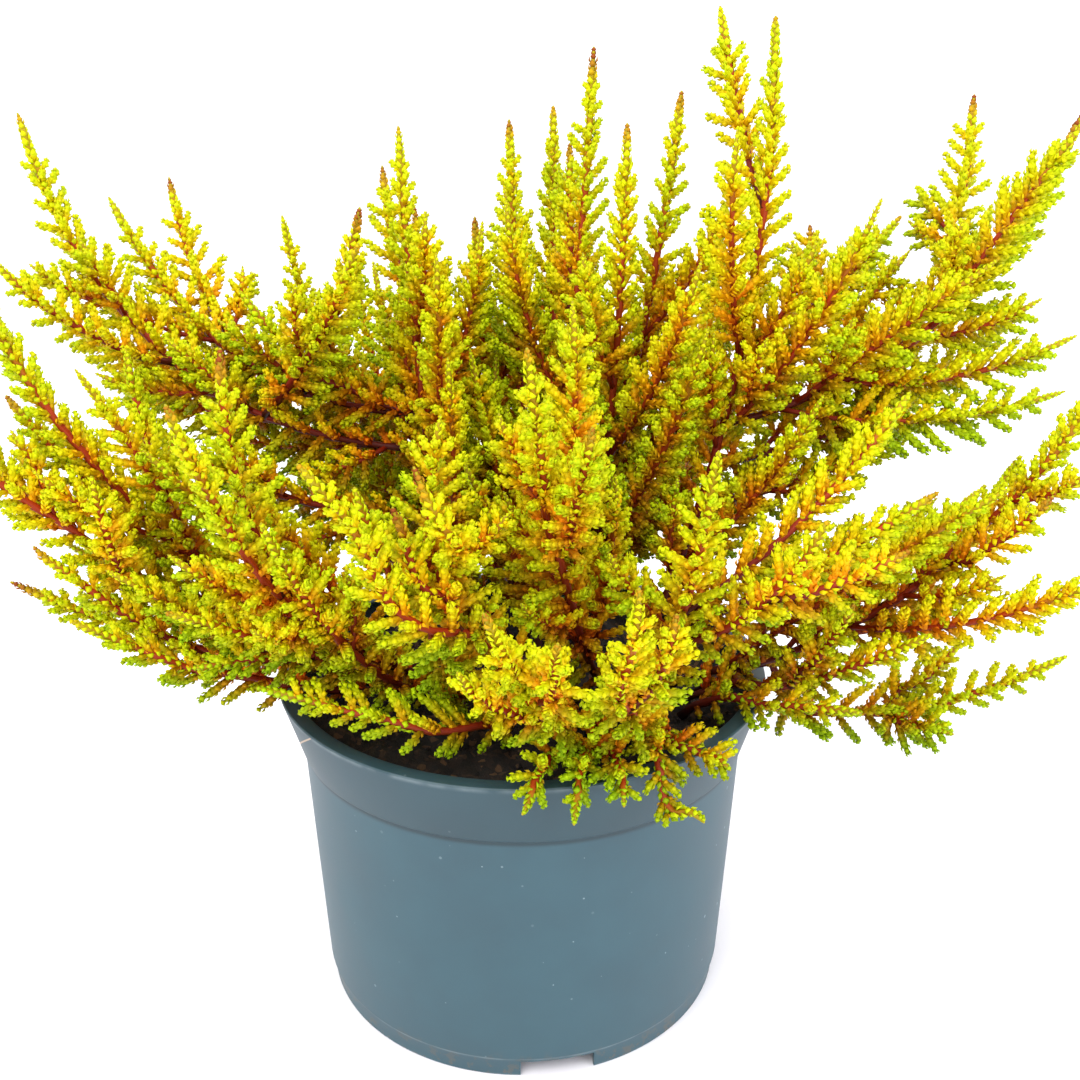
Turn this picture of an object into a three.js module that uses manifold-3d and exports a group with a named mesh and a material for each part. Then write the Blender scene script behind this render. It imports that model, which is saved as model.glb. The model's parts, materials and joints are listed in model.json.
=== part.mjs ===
// Potted heather: a gold-leaved Calluna in a round plastic nursery pot, filled with peat.
// Millimetres, +Z up. The origin is on the pot's axis, on the surface that the pot stands on.
// Headings are degrees about the pot's axis: 0 is +X, 90 the back (+Y) and -90 the front.

import * as THREE from 'three';
import { mergeVertices } from 'three/addons/utils/BufferGeometryUtils.js';
import Module from 'manifold-3d';

const wasm = await Module();
wasm.setup();

// Driving dimensions of the pot
const POT_HEIGHT = 90;
const RIM_RADIUS = 65;
const LIP_WIDTH = 4.2;
const LIP_THICKNESS = 1.5;
const EDGE_BREAK = 0.6;
const COLLAR_RADIUS = 59.9;
const COLLAR_HEIGHT = 73;
const COLLAR_STEP = 0.7;
const WALL_FOOT_RADIUS = 55.8;
const WALL = 1.4;
const FOOT_RADIUS = 54.8;
const FOOT_HEIGHT = 6;
const FOOT_LEDGE = 0.5;
const FLOOR_THICKNESS = 1.8;
const POT_SIDES = 40;
const NOTCHES = 3;
const NOTCH_WIDTH = 19;
const NOTCH_HEIGHT = 4.8;
const NOTCH_HEADING = -81;
const NOTCH_CUT = 8;
const DRAINS = 6;
const DRAIN_RADIUS = 4.5;
const DRAIN_RING = 42;
const DRAIN_SIDES = 8;

// Driving dimensions of the peat
const CLEARANCE = 0.3;
const SOIL_EDGE_HEIGHT = 84.2;
const SOIL_CROWN_HEIGHT = 86.6;
const SOIL_SIDES = 24;
const HOLE_DEPTH = 7;
const HOLE_RADIUS = 2.3;
const HOLE_SIDES = 5;
const STEM_OVER_SOIL = 2.5;
const STEM_OVER_RIM = 3.4;
const RIM_APPROACH = 14;

// Driving dimensions of the shoots
const STEM_SIDES = 3;
const STEM_RADIUS = 1.5;
const TIP_RADIUS = 0.9;
const SIDE_STEM_SHARE = 0.85;
const TWIST = 28;
const BARE_SHARE = 0.2;
const BARE_STEP = 14;
const SPIKE_LENGTH = 5;
const LEVEL_STEP = 5.9;
const LEVEL_STEP_AT_TIP = 3.9;
const BRANCHLET_LENGTH = 12.5;
const BRANCHLET_LENGTH_AT_TIP = 2.8;
const BRANCHLET_RADIUS = 1;
const BRANCHLET_ANGLE = 54;
const BRANCHLET_ANGLE_AT_TIP = 36;
const BRANCHLET_ANGLE_SPREAD = 6;
const BRANCHLET_LENGTH_SPREAD = [0.85, 1.1];
const BRANCHLET_ROOT_SHARE = 0.25;
const YOUNGEST_SHARE = 0.6;
const YOUNG_PART = 0.18;
const SHORTER_TRIES = [1, 0.75, 0.5];
const FULL_GROWN_STEM = 130;
const SIZE_RANGE = [0.7, 1.1];
const CROWN_RADIUS = 24;
const ROOT_SPACING = 7.6;
const STATIONS = 16;
const STEM_SPACING = 6;
const TIP_SPACING = 11;
const FORK_STATIONS = 3;
const RISE_A_STATION = 3;
const SPREAD_ROUNDS = 60;
const FOOT_RISE = 1;
const SEED = 29;

const degrees = THREE.MathUtils.degToRad;
const lerp = THREE.MathUtils.lerp;

let drawn = SEED;

// The next number of a seeded sequence, between low and high.
function random(low, high) {
  drawn = (drawn * 1664525 + 1013904223) % 4294967296;
  return low + (high - low) * drawn / 4294967296;
}

// A shoot rises from the peat to its tip. The sag bows it down by that share of its length, and a
// negative one arches it up. The swing bows it to its left, seen from its root. A side shoot leaves
// its parent at a station counted from the parent's own start.
function shoot(heading, reach, height, sag, swing, ...sides) {
  return { heading, reach, height, sag, swing, sides };
}

function side(station, heading, reach, height, sag, ...sides) {
  return { station, heading, reach, height, sag, swing: 0, sides };
}

// Three rooted cuttings share the pot. Each has its own crown, from which its shoots spread.
const CUTTINGS = {
  left: {
    crown: [-15, 2],
    shoots: [
      shoot(160, 31, 227, 0.02, 0,
        side(10, 143, 44, 217, 0.05),
        side(8, 164, 111, 209, 0.16, side(8, 155, 104, 213, 0.1), side(5, -165, 38, 210, 0.05)),
        side(7, 174, 121, 230, 0.2, side(8, -177, 124, 198, 0.08), side(5, -152, 41, 203, 0.05)),
        side(8, 172, 71, 188, 0.1),
        side(5, 179, 98, 158, 0.1)),
      shoot(-166, 125, 203, 0.12, 0, side(9, -172, 122, 168, 0.06), side(7, -178, 96, 176, 0.08)),
      shoot(-163, 142, 188, 0.12, 0, side(8, -152, 104, 158, 0.08)),
      shoot(-171, 127, 122, 0.05, 0),
      shoot(-156, 112, 123, 0.05, 0, side(8, -163, 116, 138, 0.05)),
      shoot(-134, 98, 179, 0.1, 0, side(9, -140, 80, 186, 0.06)),
      shoot(-129, 84, 153, 0.08, 0),
      shoot(-143, 96, 130, -0.02, 0.04, side(8, -150, 88, 110, 0)),
      shoot(-105, 80, 168, 0.12, 0, side(9, -118, 72, 160, 0.05)),
      shoot(-112, 52, 104, -0.08, 0),
    ],
  },
  back: {
    crown: [5, 15],
    shoots: [
      shoot(107, 42, 203, 0.04, 0, side(9, 138, 32, 198, 0.04)),
      shoot(95, 31, 228, 0.03, 0),
      shoot(80, 52, 231, 0.04, 0),
      shoot(48, 27, 245, 0.02, 0, side(9, 70, 38, 222, 0.04)),
      shoot(0, 25, 228, 0.03, 0),
      shoot(21, 42, 235, 0.03, 0, side(8, 27, 72, 187, 0.06)),
      shoot(52, 98, 203, 0.12, 0, side(8, 42, 104, 172, 0.06)),
      shoot(60, 104, 145, 0.06, 0),
      shoot(84, 101, 182, 0.12, 0, side(9, 76, 80, 196, 0.06)),
      shoot(104, 104, 150, 0.08, 0),
      shoot(122, 98, 190, 0.12, 0, side(9, 112, 84, 202, 0.06)),
      shoot(138, 104, 150, 0.08, 0),
      shoot(146, 78, 203, 0.08, 0),
    ],
  },
  right: {
    crown: [25, -5],
    shoots: [
      shoot(0, 58, 251, 0.06, 0,
        side(12, 22, 52, 254, 0.03),
        side(9, 21, 110, 203, 0.05, side(7, 30, 92, 200, 0.06)),
        side(7, 0, 131, 230, 0.14, side(9, 15, 120, 234, 0.1), side(6, 8, 118, 208, 0.06)),
        side(6, 9, 132, 180, 0.08),
        side(5, 2, 104, 156, 0.06)),
      shoot(-65, 88, 172, 0.08, 0,
        side(9, -26, 94, 174, 0.06),
        side(8, -29, 103, 154, 0.03),
        side(7, -52, 97, 157, 0.1, side(9, -40, 104, 147, 0.06))),
      shoot(-13, 137, 178, 0.12, 0, side(9, -19, 126, 150, 0.06), side(7, -6, 122, 150, 0.08)),
      shoot(-8, 140, 100, 0.12, 0, side(8, -16, 112, 84, 0.02), side(8, -1, 118, 96, 0.04)),
      shoot(-23, 104, 116, 0.05, 0, side(7, -31, 88, 126, 0.04)),
      shoot(-115, 96, 172, 0.05, 0.06, side(9, -108, 76, 158, 0.06)),
      shoot(-89, 72, 190, 0.06, 0, side(9, -80, 78, 176, 0.05)),
      shoot(-94, 98, 147, 0.1, 0.04, side(10, -86, 96, 140, 0.04), side(8, -98, 88, 130, 0.06)),
      shoot(-77, 96, 150, 0.12, 0, side(9, -70, 88, 140, 0.06)),
      shoot(-60, 58, 120, 0.03, 0),
      shoot(-143, 77, 107, -0.02, 0.3),
      shoot(-82, 76, 88, -0.14, 0, side(8, -90, 75, 90, -0.04), side(8, -74, 75, 90, -0.04)),
      shoot(-60, 80, 84, -0.14, 0, side(9, -54, 77, 92, -0.04)),
      shoot(-31, 92, 99, -0.04, 0),
    ],
  },
};

// ---------------------------------------------------------------- solids

// A manifold-3d solid of a closed three.js geometry.
function solidOf(geometry) {
  const bare = geometry.clone();
  bare.deleteAttribute('normal');
  bare.deleteAttribute('uv');
  const merged = mergeVertices(bare, 1e-4);
  return new wasm.Manifold(new wasm.Mesh({
    numProp: 3,
    vertProperties: merged.attributes.position.array,
    triVerts: new Uint32Array(merged.index.array),
  }));
}

function geometryOf(solid) {
  const mesh = solid.getMesh();
  const geometry = new THREE.BufferGeometry();
  geometry.setAttribute('position', new THREE.BufferAttribute(mesh.vertProperties, 3));
  geometry.setIndex(new THREE.BufferAttribute(mesh.triVerts, 1));
  geometry.computeVertexNormals();
  return geometry;
}

// A profile of [radius, height] points turned about the Z axis.
function turned(profile, sides) {
  const points = profile.map(([radius, height]) => new THREE.Vector2(radius, height));
  return new THREE.LatheGeometry(points, sides).rotateX(Math.PI / 2);
}

// An upright prism with its foot at the given height.
function prism(radius, height, sides, x, y, foot) {
  const geometry = new THREE.CylinderGeometry(radius, radius, height, sides);
  return geometry.rotateX(Math.PI / 2).translate(x, y, foot + height / 2);
}

function finished(name, geometry, color, roughness) {
  const mesh = new THREE.Mesh(geometry, new THREE.MeshStandardMaterial({ color, roughness, metalness: 0 }));
  mesh.name = name;
  return mesh;
}

// ---------------------------------------------------------------- pot

// The collar flares from its lower edge to the rim.
function collarRadius(height) {
  const share = (height - COLLAR_HEIGHT) / (POT_HEIGHT - COLLAR_HEIGHT);
  return lerp(COLLAR_RADIUS, RIM_RADIUS, share);
}

// A thin-walled pot with a flared collar, a flat lip turned inwards and a notched foot ring.
function makePot() {
  const floorTop = FOOT_HEIGHT + FLOOR_THICKNESS;
  const lipFoot = POT_HEIGHT - LIP_THICKNESS;
  const profile = [
    [0, FOOT_HEIGHT],
    [FOOT_RADIUS - WALL - EDGE_BREAK, FOOT_HEIGHT],
    [FOOT_RADIUS - WALL, 0],
    [FOOT_RADIUS, 0],
    [WALL_FOOT_RADIUS - FOOT_LEDGE, FOOT_HEIGHT - FOOT_LEDGE],
    [WALL_FOOT_RADIUS, FOOT_HEIGHT],
    [COLLAR_RADIUS - COLLAR_STEP, COLLAR_HEIGHT - COLLAR_STEP],
    [COLLAR_RADIUS, COLLAR_HEIGHT],
    [RIM_RADIUS, POT_HEIGHT - EDGE_BREAK],
    [RIM_RADIUS - EDGE_BREAK, POT_HEIGHT],
    [RIM_RADIUS - LIP_WIDTH, POT_HEIGHT],
    [RIM_RADIUS - LIP_WIDTH, lipFoot],
    [collarRadius(lipFoot) - WALL, lipFoot],
    [COLLAR_RADIUS - WALL, COLLAR_HEIGHT],
    [WALL_FOOT_RADIUS - WALL, floorTop],
    [0, floorTop],
  ];
  let pot = solidOf(turned(profile, POT_SIDES));
  for (let n = 0; n < NOTCHES; n += 1) {
    const turn = degrees(NOTCH_HEADING + n * 360 / NOTCHES);
    const cutter = new THREE.BoxGeometry(NOTCH_CUT, NOTCH_WIDTH, 2 * NOTCH_HEIGHT);
    pot = pot.subtract(solidOf(cutter.translate(FOOT_RADIUS, 0, 0).rotateZ(turn)));
  }
  for (let n = 0; n < DRAINS; n += 1) {
    const turn = (n + 0.5) * 2 * Math.PI / DRAINS;
    const [x, y] = [DRAIN_RING * Math.cos(turn), DRAIN_RING * Math.sin(turn)];
    const cutter = prism(DRAIN_RADIUS, 4 * FLOOR_THICKNESS, DRAIN_SIDES, x, y, FOOT_HEIGHT - FLOOR_THICKNESS);
    pot = pot.subtract(solidOf(cutter));
  }
  return geometryOf(pot);
}

// ---------------------------------------------------------------- peat

const SOIL_RADIUS = collarRadius(SOIL_EDGE_HEIGHT) - WALL - CLEARANCE;

// The peat is heaped a little towards the crown of the plant.
function soilHeight(x, y) {
  return lerp(SOIL_CROWN_HEIGHT, SOIL_EDGE_HEIGHT, Math.min(1, Math.hypot(x, y) / SOIL_RADIUS));
}

function makeSoil(roots) {
  const floorTop = FOOT_HEIGHT + FLOOR_THICKNESS + CLEARANCE;
  const profile = [
    [0, floorTop],
    [WALL_FOOT_RADIUS - WALL - CLEARANCE, floorTop],
    [COLLAR_RADIUS - WALL - CLEARANCE, COLLAR_HEIGHT],
    [SOIL_RADIUS, SOIL_EDGE_HEIGHT],
    [0, SOIL_CROWN_HEIGHT],
  ];
  let soil = solidOf(turned(profile, SOIL_SIDES));
  for (const root of roots) {
    const cutter = prism(HOLE_RADIUS, 2 * HOLE_DEPTH, HOLE_SIDES, root.x, root.y, root.z - HOLE_DEPTH);
    soil = soil.subtract(solidOf(cutter));
  }
  return geometryOf(soil);
}

// ---------------------------------------------------------------- where the stems run

function tipOf(plan) {
  const turn = degrees(plan.heading);
  return new THREE.Vector3(plan.reach * Math.cos(turn), plan.reach * Math.sin(turn), plan.height);
}

// The more a shoot leans out, the nearer its crown's edge it is rooted. Roots too close to each
// other are pushed apart.
function rootsOf(plans) {
  const roots = plans.map((plan) => {
    const tip = tipOf(plan);
    const crown = new THREE.Vector2(...plan.crown);
    const out = new THREE.Vector2(tip.x, tip.y).sub(crown);
    const lean = Math.atan2(out.length(), plan.height - SOIL_CROWN_HEIGHT);
    return out.setLength(CROWN_RADIUS * lean / (Math.PI / 2)).add(crown);
  });
  for (let round = 0; round < SPREAD_ROUNDS; round += 1) {
    roots.forEach((a, i) => roots.slice(i + 1).forEach((b) => {
      const apart = b.clone().sub(a);
      const lack = ROOT_SPACING - apart.length();
      if (lack > 0) {
        apart.setLength(lack / 2);
        a.sub(apart);
        b.add(apart);
      }
    }));
  }
  return roots.map((root) => new THREE.Vector3(root.x, root.y, soilHeight(root.x, root.y)));
}

// A stem is a bowed curve from its start to its tip, held as points at equal steps.
function stemPoints(start, plan) {
  const tip = tipOf(plan);
  const chord = tip.clone().sub(start);
  const level = new THREE.Vector3(chord.x, chord.y, 0).normalize();
  const down = new THREE.Vector3(level.x * chord.z, level.y * chord.z, -Math.hypot(chord.x, chord.y));
  const left = new THREE.Vector3(-chord.y, chord.x, 0);
  const bow = start.clone().add(tip).multiplyScalar(0.5);
  bow.addScaledVector(down, 2 * plan.sag).addScaledVector(left, 2 * plan.swing);
  const curve = new THREE.QuadraticBezierCurve3(start, bow, tip);
  return curve.getSpacedPoints(STATIONS);
}

// Lowest height at which a stem may pass over the peat and the rim.
function lowestOver(x, y) {
  const radius = Math.hypot(x, y);
  if (radius > RIM_RADIUS + STEM_OVER_RIM) {
    return 0;
  }
  const lipEdge = RIM_RADIUS - LIP_WIDTH - TIP_RADIUS;
  const towardsRim = THREE.MathUtils.smoothstep(radius, lipEdge - RIM_APPROACH, lipEdge);
  return lerp(soilHeight(x, y) + STEM_OVER_SOIL, POT_HEIGHT + STEM_OVER_RIM, towardsRim);
}

// Stems that run too close are bent clear of each other, more so towards their tips.
function bendClear(stems) {
  for (let round = 0; round < SPREAD_ROUNDS; round += 1) {
    const moves = stems.map((stem) => stem.points.map(() => new THREE.Vector3()));
    stems.forEach((a, i) => stems.slice(i + 1).forEach((b, ahead) => {
      const j = i + 1 + ahead;
      const kin = a.name === b.name;
      a.points.forEach((p, m) => b.points.forEach((q, n) => {
        if (kin && Math.min(m, n) < FORK_STATIONS) {
          return;
        }
        const apart = q.clone().sub(p);
        const wanted = lerp(STEM_SPACING, TIP_SPACING, Math.min(m, n) / STATIONS);
        const lack = wanted - apart.length();
        if (lack > 0) {
          apart.setLength(lack / 4);
          moves[i][m].sub(apart);
          moves[j][n].add(apart);
        }
      }));
    }));
    stems.forEach((stem, i) => {
      for (let m = 1; m <= STATIONS; m += 1) {
        const before = moves[i][m - 1];
        const after = moves[i][Math.min(m + 1, STATIONS)];
        const move = moves[i][m].clone().multiplyScalar(2).add(before).add(after).multiplyScalar(0.25);
        const point = stem.points[m];
        point.addScaledVector(move, Math.min(1, m / FORK_STATIONS));
        const reached = stem.points[0].z + FOOT_RISE + RISE_A_STATION * m;
        point.z = Math.max(point.z, Math.min(lowestOver(point.x, point.y), reached));
      }
      if (stem.parent) {
        stem.points[0].copy(stem.parent.points[stem.station]);
      }
    });
  }
}

// ---------------------------------------------------------------- shoots

// Every stem and branchlet that stands so far, as thick line segments.
const grown = [];

function gapBetween(a, b) {
  const u = a.to.clone().sub(a.from);
  const v = b.to.clone().sub(b.from);
  const w = a.from.clone().sub(b.from);
  const [uu, uv, vv, uw, vw] = [u.dot(u), u.dot(v), v.dot(v), u.dot(w), v.dot(w)];
  const det = uu * vv - uv * uv;
  let s = det > 1e-9 ? THREE.MathUtils.clamp((uv * vw - vv * uw) / det, 0, 1) : 0;
  const t = THREE.MathUtils.clamp((uv * s + vw) / vv, 0, 1);
  s = THREE.MathUtils.clamp((uv * t - uw) / uu, 0, 1);
  const gap = w.addScaledVector(u, s).addScaledVector(v, -t).length();
  return gap - a.radius - b.radius;
}

function touchesPot(point, radius) {
  const fromAxis = Math.hypot(point.x, point.y);
  if (fromAxis < RIM_RADIUS - LIP_WIDTH - radius - CLEARANCE) {
    return point.z - radius < soilHeight(point.x, point.y) + CLEARANCE;
  }
  return fromAxis < RIM_RADIUS + radius + CLEARANCE && point.z - radius < POT_HEIGHT + CLEARANCE;
}

function isFree(segment, own) {
  if (touchesPot(segment.to, segment.radius) || touchesPot(segment.from, segment.radius)) {
    return false;
  }
  return grown.every((other) => other.stem === own || gapBetween(segment, other) > CLEARANCE);
}

function stemRadius(stem, share) {
  return lerp(STEM_RADIUS, TIP_RADIUS, share) * (stem.parent ? SIDE_STEM_SHARE : 1);
}

// The curve through a stem's points, and the room that the stem itself takes up.
function prepare(stem) {
  stem.curve = new THREE.CatmullRomCurve3(stem.points, false, 'centripetal');
  stem.length = stem.curve.getLength();
  const chord = stem.points[STATIONS].clone().sub(stem.points[0]);
  stem.across = new THREE.Vector3(-chord.y, chord.x, 0).normalize();
  stem.turn = random(0, 360);
  const steps = 3 * STATIONS;
  for (let n = 0; n < steps; n += 1) {
    const from = stem.curve.getPointAt(n / steps);
    const to = stem.curve.getPointAt((n + 1) / steps);
    grown.push({ from, to, radius: stemRadius(stem, n / steps), stem });
  }
}

// Places of the stem's rings, as shares of its length: a few on the bare foot, then one a level.
function ringShares(stem) {
  const bareEnd = (stem.parent ? 0.5 : 1) * BARE_SHARE;
  const bareSteps = Math.max(1, Math.round(bareEnd * stem.length / BARE_STEP));
  const shares = [];
  for (let n = 0; n < bareSteps; n += 1) {
    shares.push(bareEnd * n / bareSteps);
  }
  const last = 1 - SPIKE_LENGTH / stem.length;
  for (let share = bareEnd; share < last - 1 / stem.length;) {
    shares.push(share);
    share += lerp(LEVEL_STEP, LEVEL_STEP_AT_TIP, (share - bareEnd) / (1 - bareEnd)) / stem.length;
  }
  shares.push(last);
  return { shares, bareSteps };
}

// A ring of corners round the stem. Each ring is turned on from the last, so that the branchlets
// above it stand in the gaps between those below.
function ringAt(stem, share, turn) {
  const centre = stem.curve.getPointAt(share);
  const along = stem.curve.getTangentAt(share);
  const across = stem.across.clone().addScaledVector(along, -stem.across.dot(along)).normalize();
  const up = along.clone().cross(across);
  const radius = stemRadius(stem, share);
  const corners = [];
  for (let k = 0; k < STEM_SIDES; k += 1) {
    const angle = degrees(turn) + k * 2 * Math.PI / STEM_SIDES;
    const corner = centre.clone().addScaledVector(across, radius * Math.cos(angle));
    corners.push(corner.addScaledVector(up, radius * Math.sin(angle)));
  }
  return { share, along, corners, centre };
}

// The tip of the branchlet that stands on one triangle of the stem, or null where it would meet
// something even when shortened.
function branchletTip(stem, ring, corners) {
  const age = Math.max(0, (ring.share - BARE_SHARE) / (1 - BARE_SHARE));
  const swell = lerp(YOUNGEST_SHARE, 1, Math.min(1, age / YOUNG_PART));
  const size = THREE.MathUtils.clamp(stem.length / FULL_GROWN_STEM, ...SIZE_RANGE);
  const full = lerp(BRANCHLET_LENGTH * size, BRANCHLET_LENGTH_AT_TIP, age) * swell;
  const length = full * random(...BRANCHLET_LENGTH_SPREAD);
  const spread = random(-BRANCHLET_ANGLE_SPREAD, BRANCHLET_ANGLE_SPREAD);
  const angle = degrees(lerp(BRANCHLET_ANGLE, BRANCHLET_ANGLE_AT_TIP, age) + spread);
  const root = corners.reduce((sum, corner) => sum.add(corner), new THREE.Vector3()).divideScalar(3);
  const outward = root.clone().sub(ring.centre);
  outward.addScaledVector(ring.along, -outward.dot(ring.along)).normalize();
  const way = ring.along.clone().multiplyScalar(Math.cos(angle)).addScaledVector(outward, Math.sin(angle));
  for (const share of SHORTER_TRIES) {
    const to = root.clone().addScaledVector(way, length * share);
    const from = root.clone().lerp(to, BRANCHLET_ROOT_SHARE);
    const segment = { from, to, radius: BRANCHLET_RADIUS, stem };
    if (isFree(segment, stem)) {
      grown.push(segment);
      return to;
    }
  }
  return null;
}

// One shoot: a slim twisted stem with a branchlet pulled out of every side of each level.
function shootGeometry(stem) {
  const positions = [];
  const triangle = (...corners) => corners.forEach((corner) => positions.push(corner.x, corner.y, corner.z));
  const { shares, bareSteps } = ringShares(stem);
  const rings = shares.map((share, n) => ringAt(stem, share, stem.turn + TWIST * Math.max(0, n - bareSteps)));
  let leafyFrom = bareSteps;
  if (!stem.parent) {
    const soilTop = stem.points[0].z;
    const foot = rings[0].corners.map((_, k) => {
      const angle = degrees(stem.turn) + k * 2 * Math.PI / STEM_SIDES;
      const spot = new THREE.Vector3(Math.cos(angle), Math.sin(angle), 0).multiplyScalar(STEM_RADIUS);
      return spot.add(stem.points[0]);
    });
    rings[0].corners = foot.map((corner) => corner.clone().setZ(soilTop + FOOT_RISE));
    rings.unshift({ corners: foot.map((corner) => corner.clone().setZ(soilTop - HOLE_DEPTH + CLEARANCE)) });
    leafyFrom += 1;
  }
  triangle(rings[0].corners[0], rings[0].corners[2], rings[0].corners[1]);
  for (let n = 0; n + 1 < rings.length; n += 1) {
    for (let k = 0; k < STEM_SIDES; k += 1) {
      const next = (k + 1) % STEM_SIDES;
      const [a, b] = [rings[n].corners[k], rings[n].corners[next]];
      const [c, d] = [rings[n + 1].corners[next], rings[n + 1].corners[k]];
      const leafy = n >= leafyFrom && n + 2 < rings.length;
      const tip = leafy ? branchletTip(stem, rings[n], [a, b, d]) : null;
      if (tip) {
        triangle(a, b, tip);
        triangle(b, d, tip);
        triangle(d, a, tip);
      } else {
        triangle(a, b, d);
      }
      triangle(b, c, d);
    }
  }
  const top = stem.points[STATIONS];
  rings[rings.length - 1].corners.forEach((corner, k, corners) => {
    triangle(corner, corners[(k + 1) % STEM_SIDES], top);
  });
  const geometry = new THREE.BufferGeometry();
  geometry.setAttribute('position', new THREE.Float32BufferAttribute(positions, 3));
  return geometry;
}

// ---------------------------------------------------------------- the plant

const heather = new THREE.Group();
const plans = Object.entries(CUTTINGS).flatMap(([cutting, { crown, shoots }]) => (
  shoots.map((plan, n) => ({ ...plan, crown, name: `shoot_${cutting}_${n + 1}` }))
));
const roots = rootsOf(plans);
const stems = [];

// A stem and all the side shoots that leave it.
function addStem(name, parent, plan, start) {
  const stem = { name, parent, station: plan.station, points: stemPoints(start.clone(), plan) };
  stems.push(stem);
  plan.sides.forEach((branch) => addStem(name, stem, branch, stem.points[branch.station]));
}

plans.forEach((plan, n) => addStem(plan.name, null, plan, roots[n]));
bendClear(stems);
stems.forEach(prepare);

heather.add(finished('pot', makePot(), 0x62808d, 0.45));
heather.add(finished('soil', makeSoil(roots), 0x1f1713, 0.95));

for (const { name } of plans) {
  const [trunk, ...branches] = stems.filter((stem) => stem.name === name).map(shootGeometry);
  let geometry = trunk;
  if (branches.length > 0) {
    const fused = branches.reduce((whole, branch) => whole.add(solidOf(branch)), solidOf(trunk));
    geometry = geometryOf(fused);
  }
  heather.add(finished(name, geometry, 0xc6cf16, 0.7));
}

export default heather;
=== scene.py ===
import json
import math
from functools import partial

import bmesh
import bpy
import numpy as np
from mathutils import Matrix, Vector
from mathutils.kdtree import KDTree

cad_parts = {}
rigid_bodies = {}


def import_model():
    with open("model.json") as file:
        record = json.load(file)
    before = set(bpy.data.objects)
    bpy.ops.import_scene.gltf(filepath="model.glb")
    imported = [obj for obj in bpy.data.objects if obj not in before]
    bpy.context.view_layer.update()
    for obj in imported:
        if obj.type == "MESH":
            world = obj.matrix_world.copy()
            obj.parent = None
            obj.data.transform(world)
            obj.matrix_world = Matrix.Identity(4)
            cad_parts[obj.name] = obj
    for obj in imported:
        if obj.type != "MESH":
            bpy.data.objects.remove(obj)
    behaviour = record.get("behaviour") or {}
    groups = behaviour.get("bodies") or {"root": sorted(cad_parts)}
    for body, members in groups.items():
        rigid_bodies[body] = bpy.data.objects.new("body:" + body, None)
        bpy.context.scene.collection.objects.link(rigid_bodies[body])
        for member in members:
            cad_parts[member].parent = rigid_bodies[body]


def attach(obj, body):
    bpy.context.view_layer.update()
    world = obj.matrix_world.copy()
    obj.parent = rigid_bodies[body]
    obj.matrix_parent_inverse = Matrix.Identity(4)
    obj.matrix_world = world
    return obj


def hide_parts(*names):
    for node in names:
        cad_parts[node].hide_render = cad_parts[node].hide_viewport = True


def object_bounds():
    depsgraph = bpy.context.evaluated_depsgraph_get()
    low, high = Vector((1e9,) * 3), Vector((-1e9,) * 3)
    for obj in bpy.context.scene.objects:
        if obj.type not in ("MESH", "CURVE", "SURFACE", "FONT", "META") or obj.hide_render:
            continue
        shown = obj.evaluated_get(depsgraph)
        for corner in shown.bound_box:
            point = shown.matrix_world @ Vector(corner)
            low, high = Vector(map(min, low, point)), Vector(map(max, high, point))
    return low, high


# The potted heather as packed: a nursery pot, its peat and 37 rooted shoots of three cuttings.
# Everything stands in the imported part's own frame, in metres, with +Z up and the front towards -Y.
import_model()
cad_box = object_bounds()
MM = 0.001

# ---------------------------------------------------------------- the camera
# It is held in the hand about as high as the plant's top, a forearm's length in front of the pot's
# middle, and tilted down at it.


def add_object(name, data):
    """An object in the scene."""
    thing = bpy.data.objects.new(name, data)
    bpy.context.scene.collection.objects.link(thing)
    return thing


camera = add_object("camera", bpy.data.cameras.new("camera"))
camera.location = (0.0005, -0.303, 0.237)
camera.rotation_euler = (math.radians(69.7), 0, math.radians(-0.8))
camera.data.sensor_width = 36
camera.data.lens = 41.3
camera.data.clip_start = 0.01
bpy.context.scene.camera = camera

# ---------------------------------------------------------------- the studio
# A white laminated table in a white room. A large soft lamp at the front left lights the plant, a
# weaker one at the front right fills the shadows, and the white walls all round do the rest.
ROOM_LIGHT, LAMP_AIM, TABLE_HALF = 1.56, (0, 0, 0.12), 12.0


def linear(code, alpha=1.0):
    """An sRGB hex colour as Blender's linear red, green, blue and alpha."""
    parts = [int(code[n:n + 2], 16) / 255 for n in (1, 3, 5)]
    return [c / 12.92 if c <= 0.04045 else ((c + 0.055) / 1.055) ** 2.4 for c in parts] + [alpha]


def add_node(tree, kind, links=None, stops=(), **settings):
    """Adds a shader node with its settings. Each of links names an input and gives its value, the
    socket that feeds it, or a node, of which the first output in use is meant. stops are a colour
    ramp's (position, sRGB hex) pairs."""
    made = tree.nodes.new("ShaderNode" + kind)
    for name, value in settings.items():
        setattr(made, name, value)
    for name, source in (links or {}).items():
        if isinstance(source, bpy.types.Node):
            source = next(socket for socket in source.outputs if socket.enabled)
        if isinstance(source, bpy.types.NodeSocket):
            tree.links.new(source, made.inputs[name])
        else:
            made.inputs[name].default_value = source
    for _ in stops[2:]:
        made.color_ramp.elements.new(0.5)
    for n, (position, code) in enumerate(stops):
        made.color_ramp.elements[n].position = position
        made.color_ramp.elements[n].color = linear(code)
    return made


def new_material(name):
    """A material with no nodes yet, and the function that adds nodes to it."""
    material = bpy.data.materials.new(name)
    material.use_nodes = True
    material.node_tree.nodes.clear()
    return material, partial(add_node, material.node_tree)


def in_millimetres(node):
    """Object coordinates counted in millimetres, so that every pattern's scale is a real size."""
    place = node("TexCoord")
    return node("VectorMath", {0: place.outputs["Object"], "Scale": 1 / MM}, operation="SCALE")


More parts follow.
